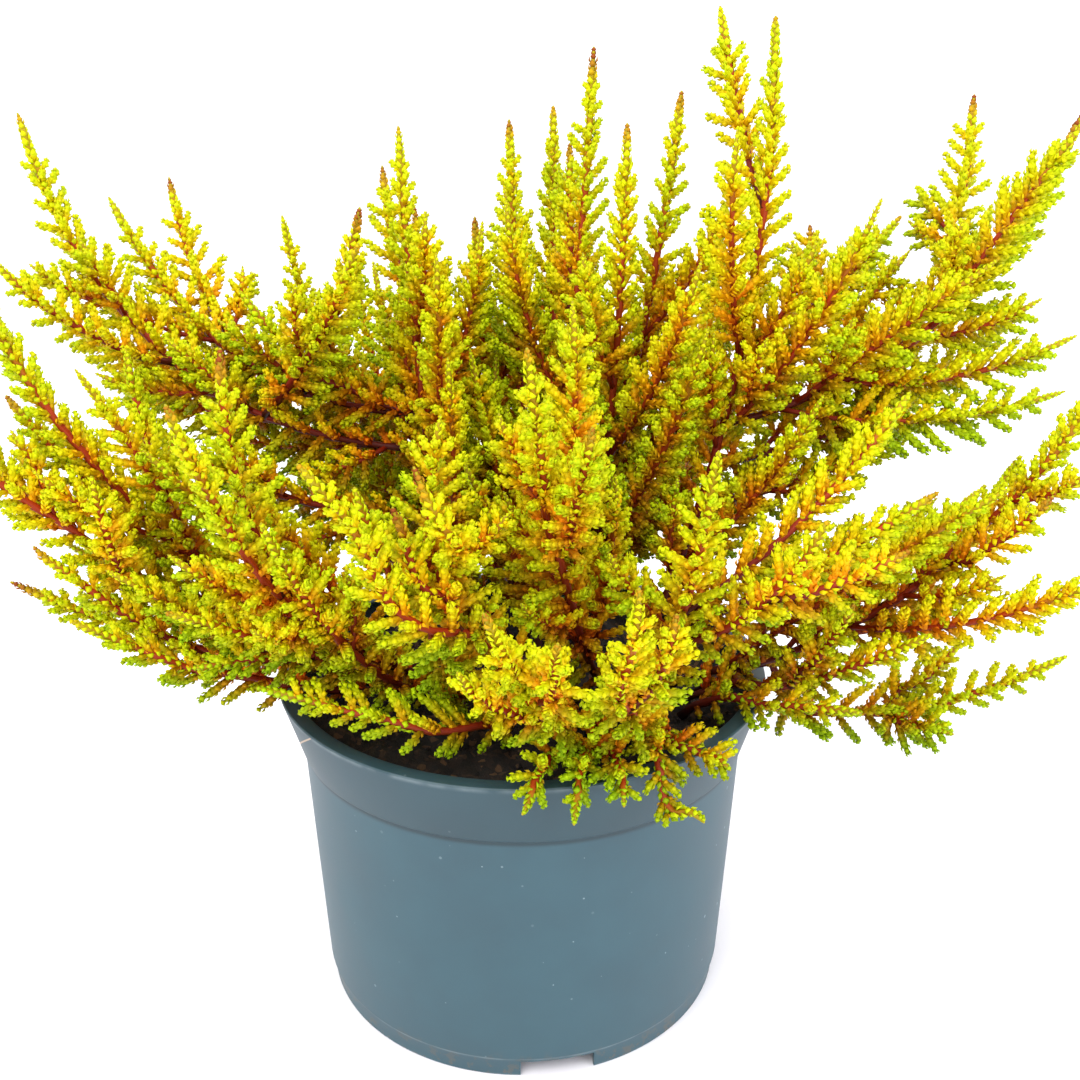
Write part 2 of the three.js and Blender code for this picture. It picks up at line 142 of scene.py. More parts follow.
world = bpy.data.worlds.new("white room")
world.use_nodes = True
world.node_tree.nodes["Background"].inputs["Color"].default_value = linear("#FFFFFF")
world.node_tree.nodes["Background"].inputs["Strength"].default_value = ROOM_LIGHT
bpy.context.scene.world = world
bpy.context.scene.view_settings.view_transform = "Standard"


def soft_lamp(name, location, size, power, colour):
    """A square softbox that faces the plant."""
    lamp = add_object(name, bpy.data.lights.new(name, "AREA"))
    lamp.data.size = size
    lamp.data.energy = power
    lamp.data.color = linear(colour)[:3]
    lamp.location = location
    towards = Vector(LAMP_AIM) - Vector(location)
    lamp.rotation_euler = towards.to_track_quat("-Z", "Y").to_euler()


soft_lamp("key lamp", (-0.55, -1.0, 1.55), 1.0, 16.5, "#FFFDF8")
soft_lamp("fill lamp", (1.2, -1.0, 0.9), 1.2, 8, "#F6F4FF")

# Laminated white table: satin, with a faint cool mottle that only shows where shadow falls.
table = add_object("table", bpy.data.meshes.new("table"))
corners = [(x * TABLE_HALF, y * TABLE_HALF, 0) for x, y in ((-1, -1), (1, -1), (1, 1), (-1, 1))]
table.data.from_pydata(corners, [], [(0, 1, 2, 3)])
laminate, node = new_material("white laminate, satin")
cloud = node("TexNoise", {"Vector": in_millimetres(node), "Scale": 1 / 60, "Detail": 3})
tint = node("ValToRGB", {"Fac": cloud}, [(0.3, "#FAF8FC"), (0.7, "#F5F3FA")])
surface = node("BsdfPrincipled", {"Base Color": tint, "Roughness": 0.6})
node("OutputMaterial", {"Surface": surface})
table.data.materials.append(laminate)

# ---------------------------------------------------------------- the pot
# A 13 cm nursery pot, injection moulded in one piece from slate grey polypropylene. Its collar
# flares to a flat lip turned inwards, and its foot ring has three notches that let water away.
POT_PROFILE = [
    (0, 6), (52.4, 6), (52.8, 5.7), (53.4, 0.4), (53.7, 0), (54.5, 0), (54.8, 0.3), (55.25, 5.3),
    (55.5, 5.75), (55.8, 6.1), (55.9, 6.6), (57.6, 40), (59.15, 71.9), (59.25, 72.4), (59.75, 72.7),
    (59.95, 73.2), (62.4, 81.4), (64.75, 89.0), (64.85, 89.6), (64.6, 89.95), (64.2, 90), (61.2, 90),
    (60.9, 89.85), (60.8, 89.5), (60.8, 88.8), (61.1, 88.5), (63.1, 88.5), (58.5, 73), (54.4, 8.4),
    (53.6, 7.8), (0, 7.8),
]
POT_HEIGHT, POT_COLUMNS, SHARP_EDGE = 90, 180, 38
NOTCH_HEADINGS, NOTCH_RING, NOTCH_SIZE = (-81, 39, 159), 54.8, (8, 19, 9.6)
DRAIN_RING, DRAIN_RADIUS, DRAIN_SIDES, DRAINS = 42, 4.5, 32, 6
PUNCH_HEIGHT, PUNCH_MIDDLE = 8, 7


def turned(name, profile, columns):
    """A closed body of (radius, height) points in millimetres turned about the pot's axis."""
    made = bmesh.new()
    rings = []
    for radius, height in profile:
        steps = 1 if radius == 0 else columns
        rings.append([made.verts.new((radius * MM * math.cos(2 * math.pi * n / columns),
                                      radius * MM * math.sin(2 * math.pi * n / columns), height * MM))
                      for n in range(steps)])
    for low, high in zip(rings, rings[1:]):
        for n in range(columns):
            corners = [low[n % len(low)], low[(n + 1) % len(low)],
                       high[(n + 1) % len(high)], high[n % len(high)]]
            made.faces.new(list(dict.fromkeys(corners)))
    mesh = bpy.data.meshes.new(name)
    bmesh.ops.recalc_face_normals(made, faces=made.faces)
    made.to_mesh(mesh)
    made.free()
    return add_object(name, mesh)


pot = turned("nursery_pot", POT_PROFILE, POT_COLUMNS)
punch = bmesh.new()
for heading in NOTCH_HEADINGS:
    made = bmesh.ops.create_cube(punch, size=1)["verts"]
    bmesh.ops.scale(punch, verts=made, vec=[side * MM for side in NOTCH_SIZE])
    bmesh.ops.translate(punch, verts=made, vec=(NOTCH_RING * MM, 0, 0))
    turn = math.radians(heading)
    bmesh.ops.rotate(punch, verts=made, matrix=Matrix.Rotation(turn, 3, "Z"))
for n in range(DRAINS):
    turn = (n + 0.5) * 2 * math.pi / DRAINS
    made = bmesh.ops.create_cone(
        punch, cap_ends=True, segments=DRAIN_SIDES, radius1=DRAIN_RADIUS * MM, radius2=DRAIN_RADIUS * MM,
        depth=PUNCH_HEIGHT * MM)["verts"]
    middle = (DRAIN_RING * MM * math.cos(turn), DRAIN_RING * MM * math.sin(turn), PUNCH_MIDDLE * MM)
    bmesh.ops.translate(punch, verts=made, vec=middle)
punched = add_object("punch", bpy.data.meshes.new("punch"))
punch.to_mesh(punched.data)
punch.free()
cut = pot.modifiers.new("punch", "BOOLEAN")
cut.object = punched
cut.solver = "EXACT"
bpy.context.view_layer.update()
finished = bpy.data.meshes.new_from_object(pot.evaluated_get(bpy.context.evaluated_depsgraph_get()))
pot.modifiers.clear()
pot.data = finished
bpy.data.objects.remove(punched)
pot.data.shade_smooth()
pot.data.set_sharp_from_angle(angle=math.radians(SHARP_EDGE))

# Recycled polypropylene, moulded: satin with a fine grain, and cloudy where the melt flowed. Pale
# dust has caught on it and an earthy band is rubbed round its foot. Its edges show pale wear, which
# also stands in as painted highlight lines round the rim and the foot ring. The collar carries
# painted shade, a shade deeper than the body, with a painted shadow line along its lower edge, and
# has one fine scratch.
POT_BLUE, POT_PALE, POT_DEEP = "#2E4E59", "#31525D", "#2C4A55"
POT_DUST, POT_EARTH, POT_WEAR_AND_HIGHLIGHT, POT_SCRATCH = "#8FA3AB", "#5E5444", "#8C9EA4", "#A8927C"
SCRATCH_SLOPE, SCRATCH_PLANE, SCRATCH_HALF_WIDTH = (0.262, -0.454, -0.851), -71.05, 0.2
SCRATCH_MIDDLE, SCRATCH_REACH = (-54.5, -31.5, 83.5), 11
polypropylene, node = new_material("recycled polypropylene, moulded")
place = in_millimetres(node)
cloud = node("TexNoise", {"Vector": place, "Scale": 1 / 22, "Detail": 4, "Roughness": 0.6})
body = node("ValToRGB", {"Fac": cloud}, [(0.3, POT_DEEP), (0.52, POT_BLUE), (0.75, POT_PALE)])
speck = node("TexVoronoi", {"Vector": place, "Scale": 1 / 2.4, "Randomness": 1})
few = node("SeparateColor", {"Color": speck.outputs["Color"]})
reach = node("Math", {0: few.outputs["Green"], 1: 0.16, 2: 0.03}, operation="MULTIPLY_ADD")
near = node("Math", {0: speck.outputs["Distance"], 1: reach}, operation="LESS_THAN")
chosen = node("MapRange", {"Value": few.outputs["Red"], "From Min": 0.86, "From Max": 1, "To Max": 0.7})
dusty = node("Math", {0: near, 1: chosen}, operation="MULTIPLY")
height = node("SeparateXYZ", {"Vector": place})
low = node("MapRange", {"Value": height.outputs["Z"], "From Min": 9, "From Max": 1})
scuff = node("TexNoise", {"Vector": place, "Scale": 1 / 4, "Detail": 5, "Roughness": 0.7})
rubbed = node("Math", {0: scuff, 1: 0.56}, operation="GREATER_THAN")
earthy = node("Math", {0: rubbed, 1: low}, operation="MULTIPLY")
earthen = node("Math", {0: earthy, 1: 0.5}, operation="MULTIPLY")
share = node("Math", {0: height.outputs["Z"], 1: POT_HEIGHT}, operation="DIVIDE")
# Pale edge lines round the foot ring and the rim: partly wear, partly painted highlight.
edges = node("ValToRGB", {"Fac": share}, [
    (0.0, "#808080"), (0.012, "#000000"), (0.055, "#000000"), (0.062, "#B0B0B0"),
    (0.07, "#000000"), (0.982, "#000000"), (0.992, "#C0C0C0"), (1.0, "#303030")])
edge_patch_noise = node("TexNoise", {"Vector": place, "Scale": 1 / 9, "Detail": 3})
wear_and_highlight_patches = node("MapRange", {"Value": edge_patch_noise, "From Min": 0.42, "From Max": 0.62})
edge_wear_and_highlight = node("Math", {0: edges, 1: wear_and_highlight_patches}, operation="MULTIPLY")
coloured = body
for amount, colour in ((dusty, POT_DUST), (earthen, POT_EARTH), (edge_wear_and_highlight, POT_WEAR_AND_HIGHLIGHT)):
    coloured = node("Mix", {"Factor": amount, "A": coloured, "B": linear(colour)}, data_type="RGBA")
# Painted shade: the collar is darkened, with a darker painted shadow line along its lower edge.
collar = node("ValToRGB", {"Fac": share}, [
    (0.787, "#FFFFFF"), (0.797, "#B4B4B4"), (0.812, "#D8D8D8"), (1.0, "#DADADA")])
collar_with_painted_shade = node("Mix", {"Factor": 1.0, "A": coloured, "B": collar}, data_type="RGBA", blend_type="MULTIPLY")
across = node("VectorMath", {0: place, 1: SCRATCH_SLOPE}, operation="DOT_PRODUCT")
line = node("Math", {0: across, 1: SCRATCH_PLANE, 2: SCRATCH_HALF_WIDTH}, operation="COMPARE")
along = node("VectorMath", {0: place, 1: SCRATCH_MIDDLE}, operation="DISTANCE")
short = node("Math", {0: along, 1: SCRATCH_REACH}, operation="LESS_THAN")
scratch = node("Math", {0: line, 1: short}, operation="MULTIPLY")
scratched = node("Mix", {"Factor": scratch, "A": collar_with_painted_shade, "B": linear(POT_SCRATCH)}, data_type="RGBA")
grain = node("TexNoise", {"Vector": place, "Scale": 1 / 0.5, "Detail": 2})
relief = node("Bump", {"Height": grain, "Strength": 0.12, "Distance": 0.1 * MM})
gloss = node("MapRange", {"Value": cloud, "To Min": 0.42, "To Max": 0.54})
surface = node("BsdfPrincipled", {
    "Base Color": scratched, "Roughness": gloss, "IOR": 1.49, "Normal": relief})
node("OutputMaterial", {"Surface": surface})
pot.data.materials.clear()
pot.data.materials.append(polypropylene)
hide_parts("pot")
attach(pot, "root")

# ---------------------------------------------------------------- the peat
# Moist peat compost, filled in and settled a little below the rim. Its top is crumbly, with coarse
# lumps and bits of bark.
SOIL_EDGE_HEIGHT, SOIL_CROWN_HEIGHT, SOIL_RADIUS = 84.2, 86.6, 61.56
PEAT_RINGS, PEAT_COLUMNS, PEAT_SINK = 38, 130, 0.6
PEAT_SIDE_RADII, PEAT_SIDE_HEIGHTS = (58.0, 54.0), (73.0, 8.2)
WAVES, WAVE_HEIGHT, LONGEST_WAVE = 60, 0.35, 0.6
SWELL_HEIGHT, GRAIN_HEIGHT, LEVEL_EDGE = 0.55, 0.35, 6
random = np.random.default_rng(7)


def soil_height(x, y):
    """Height of the settled peat, in millimetres."""
    share = np.minimum(1, np.hypot(x, y) / SOIL_RADIUS)
    return SOIL_CROWN_HEIGHT + (SOIL_EDGE_HEIGHT - SOIL_CROWN_HEIGHT) * share


def mesh_of(name, points, triangles):
    """A mesh object of points in metres and corner numbers."""
    mesh = bpy.data.meshes.new(name)
    mesh.vertices.add(len(points))
    mesh.vertices.foreach_set("co", np.asarray(points, np.float32).ravel())
    mesh.loops.add(triangles.size)
    mesh.loops.foreach_set("vertex_index", triangles.astype(np.int32).ravel())
    mesh.polygons.add(len(triangles))
    mesh.polygons.foreach_set("loop_start", np.arange(0, triangles.size, 3, dtype=np.int32))
    mesh.update(calc_edges=True)
    return add_object(name, mesh)


# The body is a polar net: its top rises and falls with the crumbs, and its side and foot follow
# the inside of the pot.
share = np.linspace(0, 1, PEAT_RINGS)[1:]
turn = np.arange(PEAT_COLUMNS) * 2 * np.pi / PEAT_COLUMNS
radius, heading = np.meshgrid(share * SOIL_RADIUS, turn, indexing="ij")
x, y = radius * np.cos(heading), radius * np.sin(heading)
waves = random.normal(size=(WAVES, 2)) * np.geomspace(0.12, 1.3, WAVES)[:, None]
phase = random.uniform(0, 2 * np.pi, WAVES)
swell = sum(np.sin(x * wx + y * wy + p) * WAVE_HEIGHT / (LONGEST_WAVE + math.hypot(wx, wy))
            for (wx, wy), p in zip(waves, phase))
edge = np.clip((1 - share) * LEVEL_EDGE, 0, 1)[:, None]
rough = SWELL_HEIGHT * swell + GRAIN_HEIGHT * random.normal(size=x.shape)
z = soil_height(x, y) - PEAT_SINK + rough * edge
top = np.stack([x, y, z], -1).reshape(-1, 3)
side = np.stack([np.repeat(PEAT_SIDE_RADII, PEAT_COLUMNS) * np.tile(np.cos(turn), 2),
                 np.repeat(PEAT_SIDE_RADII, PEAT_COLUMNS) * np.tile(np.sin(turn), 2),
                 np.repeat(PEAT_SIDE_HEIGHTS, PEAT_COLUMNS)], -1)
middle = [0, 0, SOIL_CROWN_HEIGHT - PEAT_SINK]
points = np.vstack([[middle], top, side, [[0, 0, PEAT_SIDE_HEIGHTS[-1]]]])
rows = len(share) + 2
first = 1 + np.arange(rows)[:, None] * PEAT_COLUMNS + np.arange(PEAT_COLUMNS)
after = np.roll(first, -1, axis=1)
fan = np.stack([np.zeros(PEAT_COLUMNS, int), first[0], after[0]], -1)
quads = [np.stack([first[:-1], first[1:], after[1:]], -1).reshape(-1, 3),
         np.stack([first[:-1], after[1:], after[:-1]], -1).reshape(-1, 3)]
floor_fan = np.stack([np.full(PEAT_COLUMNS, len(points) - 1), after[-1], first[-1]], -1)
triangles = np.vstack([fan, *quads, floor_fan])

# Loose crumbs and bark: squashed eight-sided lumps, half sunk into the top.
CRUMBS, CRUMB_REACH, CRUMB_FLATNESS, CRUMB_SINK = 600, 0.94, 0.6, 0.35
lump = np.array([(1, 0, 0), (0, 1, 0), (-1, 0, 0), (0, -1, 0), (0, 0, 1), (0, 0, -1)], float)
lump_faces = np.array([(0, 1, 4), (1, 2, 4), (2, 3, 4), (3, 0, 4),
                       (1, 0, 5), (2, 1, 5), (3, 2, 5), (0, 3, 5)])
spread = SOIL_RADIUS * CRUMB_REACH * np.sqrt(random.uniform(0, 1, CRUMBS))
heading = random.uniform(0, 2 * np.pi, CRUMBS)
x, y = spread * np.cos(heading), spread * np.sin(heading)
size = np.exp(random.normal(-0.35, 0.45, (CRUMBS, 1))) * random.uniform(0.45, 1.3, (CRUMBS, 3))
jitter = 1 + 0.3 * random.normal(size=(CRUMBS, 6, 1))
spin = random.uniform(0, np.pi, CRUMBS)
scaled = lump[None] * size[:, None] * jitter
c, s = np.cos(spin)[:, None], np.sin(spin)[:, None]
spun = np.stack([scaled[..., 0] * c - scaled[..., 1] * s, scaled[..., 0] * s + scaled[..., 1] * c,
                 scaled[..., 2] * CRUMB_FLATNESS], -1)
crumbs = spun + np.stack([x, y, soil_height(x, y) - CRUMB_SINK], -1)[:, None]
start = len(points) + 6 * np.arange(CRUMBS)
points = np.vstack([points, crumbs.reshape(-1, 3)])
triangles = np.vstack([triangles, (lump_faces[None] + start[:, None, None]).reshape(-1, 3)])
peat = mesh_of("peat", points * MM, triangles)

# Moist peat: matt, nearly black brown, with fibres and a few paler bits of bark.
compost, node = new_material("peat compost, moist")
place = in_millimetres(node)
crumb = node("TexVoronoi", {"Vector": place, "Scale": 1 / 1.6, "Randomness": 1})
few = node("SeparateColor", {"Color": crumb.outputs["Color"]})
body = node("ValToRGB", {"Fac": few.outputs["Green"]}, [
    (0.0, "#0E0A08"), (0.55, "#1C130E"), (0.86, "#2E2016"), (1.0, "#5A4028")])
fibre = node("TexNoise", {"Vector": place, "Scale": 1 / 0.6, "Detail": 5, "Roughness": 0.7})
relief = node("Bump", {"Height": fibre, "Strength": 0.8, "Distance": 0.4 * MM})
surface = node("BsdfPrincipled", {"Base Color": body, "Roughness": 0.92, "Normal": relief})
node("OutputMaterial", {"Surface": surface})
peat.data.materials.append(compost)
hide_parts("soil")
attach(peat, "root")

# ---------------------------------------------------------------- where the stems run
# Three rooted cuttings of a gold-leaved heather share the pot. Each stem leaves its crown in the
# peat and bows out to its tip, and its side shoots fork from it.
STATIONS, FORK_STATIONS, CURVE_SAMPLES = 16, 3, 201
STEM_SPACING, TIP_SPACING, SPREAD_ROUNDS = 6, 11, 60
RIM_RADIUS, LIP_WIDTH, TIP_RADIUS = 65, 4.2, 0.9
STEM_OVER_SOIL, STEM_OVER_RIM, RIM_APPROACH = 2.5, 3.4, 14
FOOT_RISE, RISE_A_STATION = 1, 3
CROWN_RADIUS, ROOT_SPACING = 24, 7.6


def shoot(heading, reach, height, sag, swing, *sides, station=None):
    """A shoot: where its tip is about the pot's axis, how it bows, and its side shoots."""
    return {"heading": heading, "reach": reach, "height": height, "sag": sag, "swing": swing,
            "station": station, "sides": [shoot(*row[1:5], 0, *row[5:], station=row[0]) for row in sides]}


# Where each cutting's crown stands, and its shoots: heading, reach, height, sag, swing and side
# shoots. A side shoot has the station of its parent that it leaves, counted from the parent's own
# start, then heading, reach, height, sag and its own side shoots.
CUTTINGS = {
    "left": ((-15, 2), [
        (160, 31, 227, 0.02, 0,
              (10, 143, 44, 217, 0.05),
              (8, 164, 111, 209, 0.16, (8, 155, 104, 213, 0.1), (5, -165, 38, 210, 0.05)),
              (7, 174, 121, 230, 0.2, (8, -177, 124, 198, 0.08), (5, -152, 41, 203, 0.05)),
              (8, 172, 71, 188, 0.1),
              (5, 179, 98, 158, 0.1)),
        (-166, 125, 203, 0.12, 0, (9, -172, 122, 168, 0.06), (7, -178, 96, 176, 0.08)),
        (-163, 142, 188, 0.12, 0, (8, -152, 104, 158, 0.08)),
        (-171, 127, 122, 0.05, 0),
        (-156, 112, 123, 0.05, 0, (8, -163, 116, 138, 0.05)),
        (-134, 98, 179, 0.1, 0, (9, -140, 80, 186, 0.06)),
        (-129, 84, 153, 0.08, 0),
        (-143, 96, 130, -0.02, 0.04, (8, -150, 88, 110, 0)),
        (-105, 80, 168, 0.12, 0, (9, -118, 72, 160, 0.05)),
        (-112, 52, 104, -0.08, 0),
    ]),
    "back": ((5, 15), [
        (107, 42, 203, 0.04, 0, (9, 138, 32, 198, 0.04)),
        (95, 31, 228, 0.03, 0),
        (80, 52, 231, 0.04, 0),
        (48, 27, 245, 0.02, 0, (9, 70, 38, 222, 0.04)),
        (0, 25, 228, 0.03, 0),
        (21, 42, 235, 0.03, 0, (8, 27, 72, 187, 0.06)),
        (52, 98, 203, 0.12, 0, (8, 42, 104, 172, 0.06)),
        (60, 104, 145, 0.06, 0),
        (84, 101, 182, 0.12, 0, (9, 76, 80, 196, 0.06)),
        (104, 104, 150, 0.08, 0),
        (122, 98, 190, 0.12, 0, (9, 112, 84, 202, 0.06)),
        (138, 104, 150, 0.08, 0),
        (146, 78, 203, 0.08, 0),
    ]),
    "right": ((25, -5), [
        (0, 58, 251, 0.06, 0,
              (12, 22, 52, 254, 0.03),
              (9, 21, 110, 203, 0.05, (7, 30, 92, 200, 0.06)),
              (7, 0, 131, 230, 0.14, (9, 15, 120, 234, 0.1), (6, 8, 118, 208, 0.06)),
              (6, 9, 132, 180, 0.08),
              (5, 2, 104, 156, 0.06)),
        (-65, 88, 172, 0.08, 0,
              (9, -26, 94, 174, 0.06),
              (8, -29, 103, 154, 0.03),
              (7, -52, 97, 157, 0.1, (9, -40, 104, 147, 0.06))),
        (-13, 137, 178, 0.12, 0, (9, -19, 126, 150, 0.06), (7, -6, 122, 150, 0.08)),
        (-8, 140, 100, 0.12, 0, (8, -16, 112, 84, 0.02), (8, -1, 118, 96, 0.04)),
        (-23, 104, 116, 0.05, 0, (7, -31, 88, 126, 0.04)),
        (-115, 96, 172, 0.05, 0.06, (9, -108, 76, 158, 0.06)),
        (-89, 72, 190, 0.06, 0, (9, -80, 78, 176, 0.05)),
        (-94, 98, 147, 0.1, 0.04, (10, -86, 96, 140, 0.04), (8, -98, 88, 130, 0.06)),
        (-77, 96, 150, 0.12, 0, (9, -70, 88, 140, 0.06)),
        (-60, 58, 120, 0.03, 0),
        (-143, 77, 107, -0.02, 0.3),
        (-82, 76, 88, -0.14, 0, (8, -90, 75, 90, -0.04), (8, -74, 75, 90, -0.04)),
        (-60, 80, 84, -0.14, 0, (9, -54, 77, 92, -0.04)),
        (-31, 92, 99, -0.04, 0),
    ]),
}


def tip_of(plan):
    """Where a planned shoot ends."""
    turn = math.radians(plan["heading"])
    return np.array([plan["reach"] * math.cos(turn), plan["reach"] * math.sin(turn), plan["height"]])


def find_roots(plans):
    """The more a shoot leans out, the nearer its crown's edge it is rooted, with room round each."""
    roots = []
    for crown, plan in plans:
        tip = tip_of(plan)
        out = tip[:2] - crown
        lean = math.atan2(np.hypot(*out), plan["height"] - SOIL_CROWN_HEIGHT)
        roots.append(out / np.hypot(*out) * CROWN_RADIUS * lean / (math.pi / 2) + crown)
    for _ in range(SPREAD_ROUNDS):
        for i, a in enumerate(roots):
            for b in roots[i + 1:]:
                apart = b - a
                reach = math.hypot(*apart)
                if reach < ROOT_SPACING:
                    push = apart / reach * (ROOT_SPACING - reach) / 2
                    a -= push
                    b += push
    return [np.array([*root, soil_height(*root)]) for root in roots]


def even_steps(points, steps):
    """The points at equal steps along a closely sampled line."""
    length = np.concatenate([[0], np.cumsum(np.linalg.norm(np.diff(points, axis=0), axis=1))])
    wanted = np.linspace(0, length[-1], steps + 1)
    return np.stack([np.interp(wanted, length, points[:, k]) for k in range(3)], -1)


def stem_points(start, plan):
    """A bowed line from a stem's start to its tip, as points at equal steps."""
    tip = tip_of(plan)
    chord = tip - start
    flat = np.hypot(chord[0], chord[1])
    down = np.array([chord[0] / flat * chord[2], chord[1] / flat * chord[2], -flat])
    left = np.array([-chord[1], chord[0], 0])
    bow = (start + tip) / 2 + down * 2 * plan["sag"] + left * 2 * plan["swing"]
    t = np.linspace(0, 1, CURVE_SAMPLES)[:, None]
    return even_steps((1 - t) ** 2 * start + 2 * t * (1 - t) * bow + t ** 2 * tip, STATIONS)


stems = []


def add_stem(name, parent, plan, start):
    """A stem and all the side shoots that leave it."""
    stem = {"name": name, "parent": parent, "station": plan["station"],
            "points": stem_points(start, plan)}
    stems.append(stem)
    for branch in plan["sides"]:
        add_stem(name, stem, branch, stem["points"][branch["station"]])


plans = [(f"shoot_{cutting}_{n + 1}", crown, shoot(*row))
         for cutting, (crown, rows) in CUTTINGS.items() for n, row in enumerate(rows)]
for (name, _, plan), root in zip(plans, find_roots([(crown, plan) for _, crown, plan in plans])):
    add_stem(name, None, plan, root)


def smooth_step(value, low, high):
    """0 up to low, 1 from high on, and a soft rise in between."""
    share = np.clip((value - low) / (high - low), 0, 1)
    return share * share * (3 - 2 * share)


def lowest_over(x, y):
    """Lowest height at which a stem may pass over the peat and the rim."""
    radius = np.hypot(x, y)
    lip = RIM_RADIUS - LIP_WIDTH - TIP_RADIUS
    share = smooth_step(radius, lip - RIM_APPROACH, lip)
    low = soil_height(x, y) + STEM_OVER_SOIL
    return np.where(radius > RIM_RADIUS + STEM_OVER_RIM, 0, low + (POT_HEIGHT + STEM_OVER_RIM - low) * share)


# Stems that run too close are bent clear of each other, more so towards their tips.
station = np.tile(np.arange(STATIONS + 1), len(stems))
owner = np.repeat(np.arange(len(stems)), STATIONS + 1)
kinds = {name: n for n, name in enumerate(dict.fromkeys(stem["name"] for stem in stems))}
kin = np.array([kinds[stem["name"]] for stem in stems])[owner]
nearer = np.minimum(station[:, None], station[None])
wanted = STEM_SPACING + (TIP_SPACING - STEM_SPACING) * nearer / STATIONS
apart_from = (owner[:, None] != owner[None]) & ~((kin[:, None] == kin[None]) & (nearer < FORK_STATIONS))
wanted = np.where(apart_from, wanted, 0)
for _ in range(SPREAD_ROUNDS):
    line = np.concatenate([stem["points"] for stem in stems])
    square = (line ** 2).sum(1)
    reach = np.sqrt(np.maximum(square[:, None] + square[None] - 2 * line @ line.T, 1e-12))
    close_a, close_b = np.nonzero(reach < wanted)
    gap = line[close_b] - line[close_a]
    reach = np.linalg.norm(gap, axis=1, keepdims=True)
    moves = np.zeros_like(line)
    np.add.at(moves, close_a, -gap / reach * (wanted[close_a, close_b][:, None] - reach) / 4)
    moves = moves.reshape(len(stems), STATIONS + 1, 3)
    for stem, move in zip(stems, moves):
        points = stem["points"]
        after = np.vstack([move[2:], move[-1:]])
        weight = np.minimum(1, np.arange(1, STATIONS + 1) / FORK_STATIONS)[:, None]
        points[1:] += (2 * move[1:] + move[:-1] + after) / 4 * weight
        reached = points[0, 2] + FOOT_RISE + RISE_A_STATION * np.arange(1, STATIONS + 1)
        lowest = np.minimum(lowest_over(points[1:, 0], points[1:, 1]), reached)
        points[1:, 2] = np.maximum(points[1:, 2], lowest)
        if stem["parent"]:
            points[0] = stem["parent"]["points"][stem["station"]]

# ---------------------------------------------------------------- the twigs of each shoot
# Living wood: a stem from the peat, its forks, and short sprigs that fill the room between them.
# They are round, reddish and knobbed where branchlets stand.
random = np.random.default_rng(29)
# Seen from outside, in line with the plant's centre, pairs of branchlets stand slantwise, so that
# the twig shows between them.
PLANT_CENTRE = np.array([0, 2, 96])
# Low shoots at the front spread their pairs flat, facing the window, with every third pair crossed.
FLAT_IN_FRONT_OF, FLAT_BELOW, WINDOW, CROSSED_PAIR = -35, 165, np.array([0, -0.8, 0.6]), 3
STEM_RADIUS, TIP_THICKNESS, TAPER_POWER = 1.15, (0.78, 0.62), 1.3
FORK_RADIUS_SHARE, SPRIG_RADIUS_SHARE = 0.85, 0.75
BARK_SIDES, BARK_STEP = 6, 4.2
LINE_STEPS, GLANCE, TURN_STRAY = 8, 0.8, 0.22
# Where the pairs stand: how much of a twig's foot is bare, and the steps between them, which close
# up towards the tip, most of all on long twigs. They are wider on flat shoots, closer on low ones.
# A pair of values is for stems and forks, and for sprigs.
BARE_SHARE, FORK_BARE_SHARE, FIRST_NODE = (0.07, 0.06), 0.4, 2.5
NODE_STEP, NODE_STEP_AT_TIP, NODE_STEP_POWER = {"stem": 6.0, "fork": 4.6, "sprig": 3.4}, 2.3, 1.35
LONG_TWIG, END_ROOM, END_SHARE = 110, 9, 0.16
FLAT_STEP_SHARE, LOW_STEP_SHARE, LOW_TIP = 1.2, 0.76, 95
POT_OUTSIDE_HEIGHTS, POT_OUTSIDE_RADII = (6, 72, 73.5, 89.5), (56, 59.3, 60.2, 65)
# Sprigs keep inside the plant's own size, and high enough over the peat and the rim. They choose
# the roomiest side, less gladly the more it faces out. Shoots that end low carry none.
SPRIG_MARGIN, SPRIG_FRONT, OUTWARD_PENALTY = np.array([3, 5, 3]), -66, 4
LOWEST_OVER_PEAT, LOWEST_OUTSIDE, SINGLE_BELOW = 24, 13, 118
SPRIG_POINTS, SPRIG_LIFT, SPRIG_CLEARANCE, BESIDE_TWIG = 8, 0.12, 2.5, 1.3
SPRIG_TRIES, SPRIG_SPREAD, SPRIG_FADE, FULL_TWIG = (1, 0.72, 0.5), (0.75, 1.15), 0.8, 120
PARENT_TONE, OWN_TONE, WOOD_STEP = 0.6, 0.4, 3
# Sprigs: length of the twig that can carry them, length at its foot, shortest that is kept, angle,
# bend, room round them, how many nodes lie from one to the next, and how far up the twig they go
LONG_SPRIG, SHORT_SPRIG = (
    dict(carrier=75, length=84, shortest=30, angle=math.radians(36), bend=0.4, room=7.7, every=2, to=0.66),
    dict(carrier=45, length=46, shortest=12, angle=math.radians(44), bend=0.45, room=7.1, every=2, to=0.84))


def catmull_rom(points, steps):
    """A smooth line through points, closely sampled."""
    padded = np.vstack([2 * points[0] - points[1], points, 2 * points[-1] - points[-2]])
    t = np.linspace(0, 1, steps, endpoint=False)[None, :, None]
    a, b, c, d = (padded[n:n + len(points) - 1][:, None] for n in range(4))
    line = 0.5 * (2 * b + (c - a) * t + (2 * a - 5 * b + 4 * c - d) * t ** 2
                  + (3 * b - a - 3 * c + d) * t ** 3)
    return np.vstack([line.reshape(-1, 3), points[-1:]])


def unit(v):
    """Directions of vectors."""
    return v / np.maximum(np.linalg.norm(v, axis=-1, keepdims=True), 1e-9)


def between(a, b, angle):
    """Directions at angles from a towards b."""
    return a * np.cos(angle)[:, None] + b * np.sin(angle)[:, None]


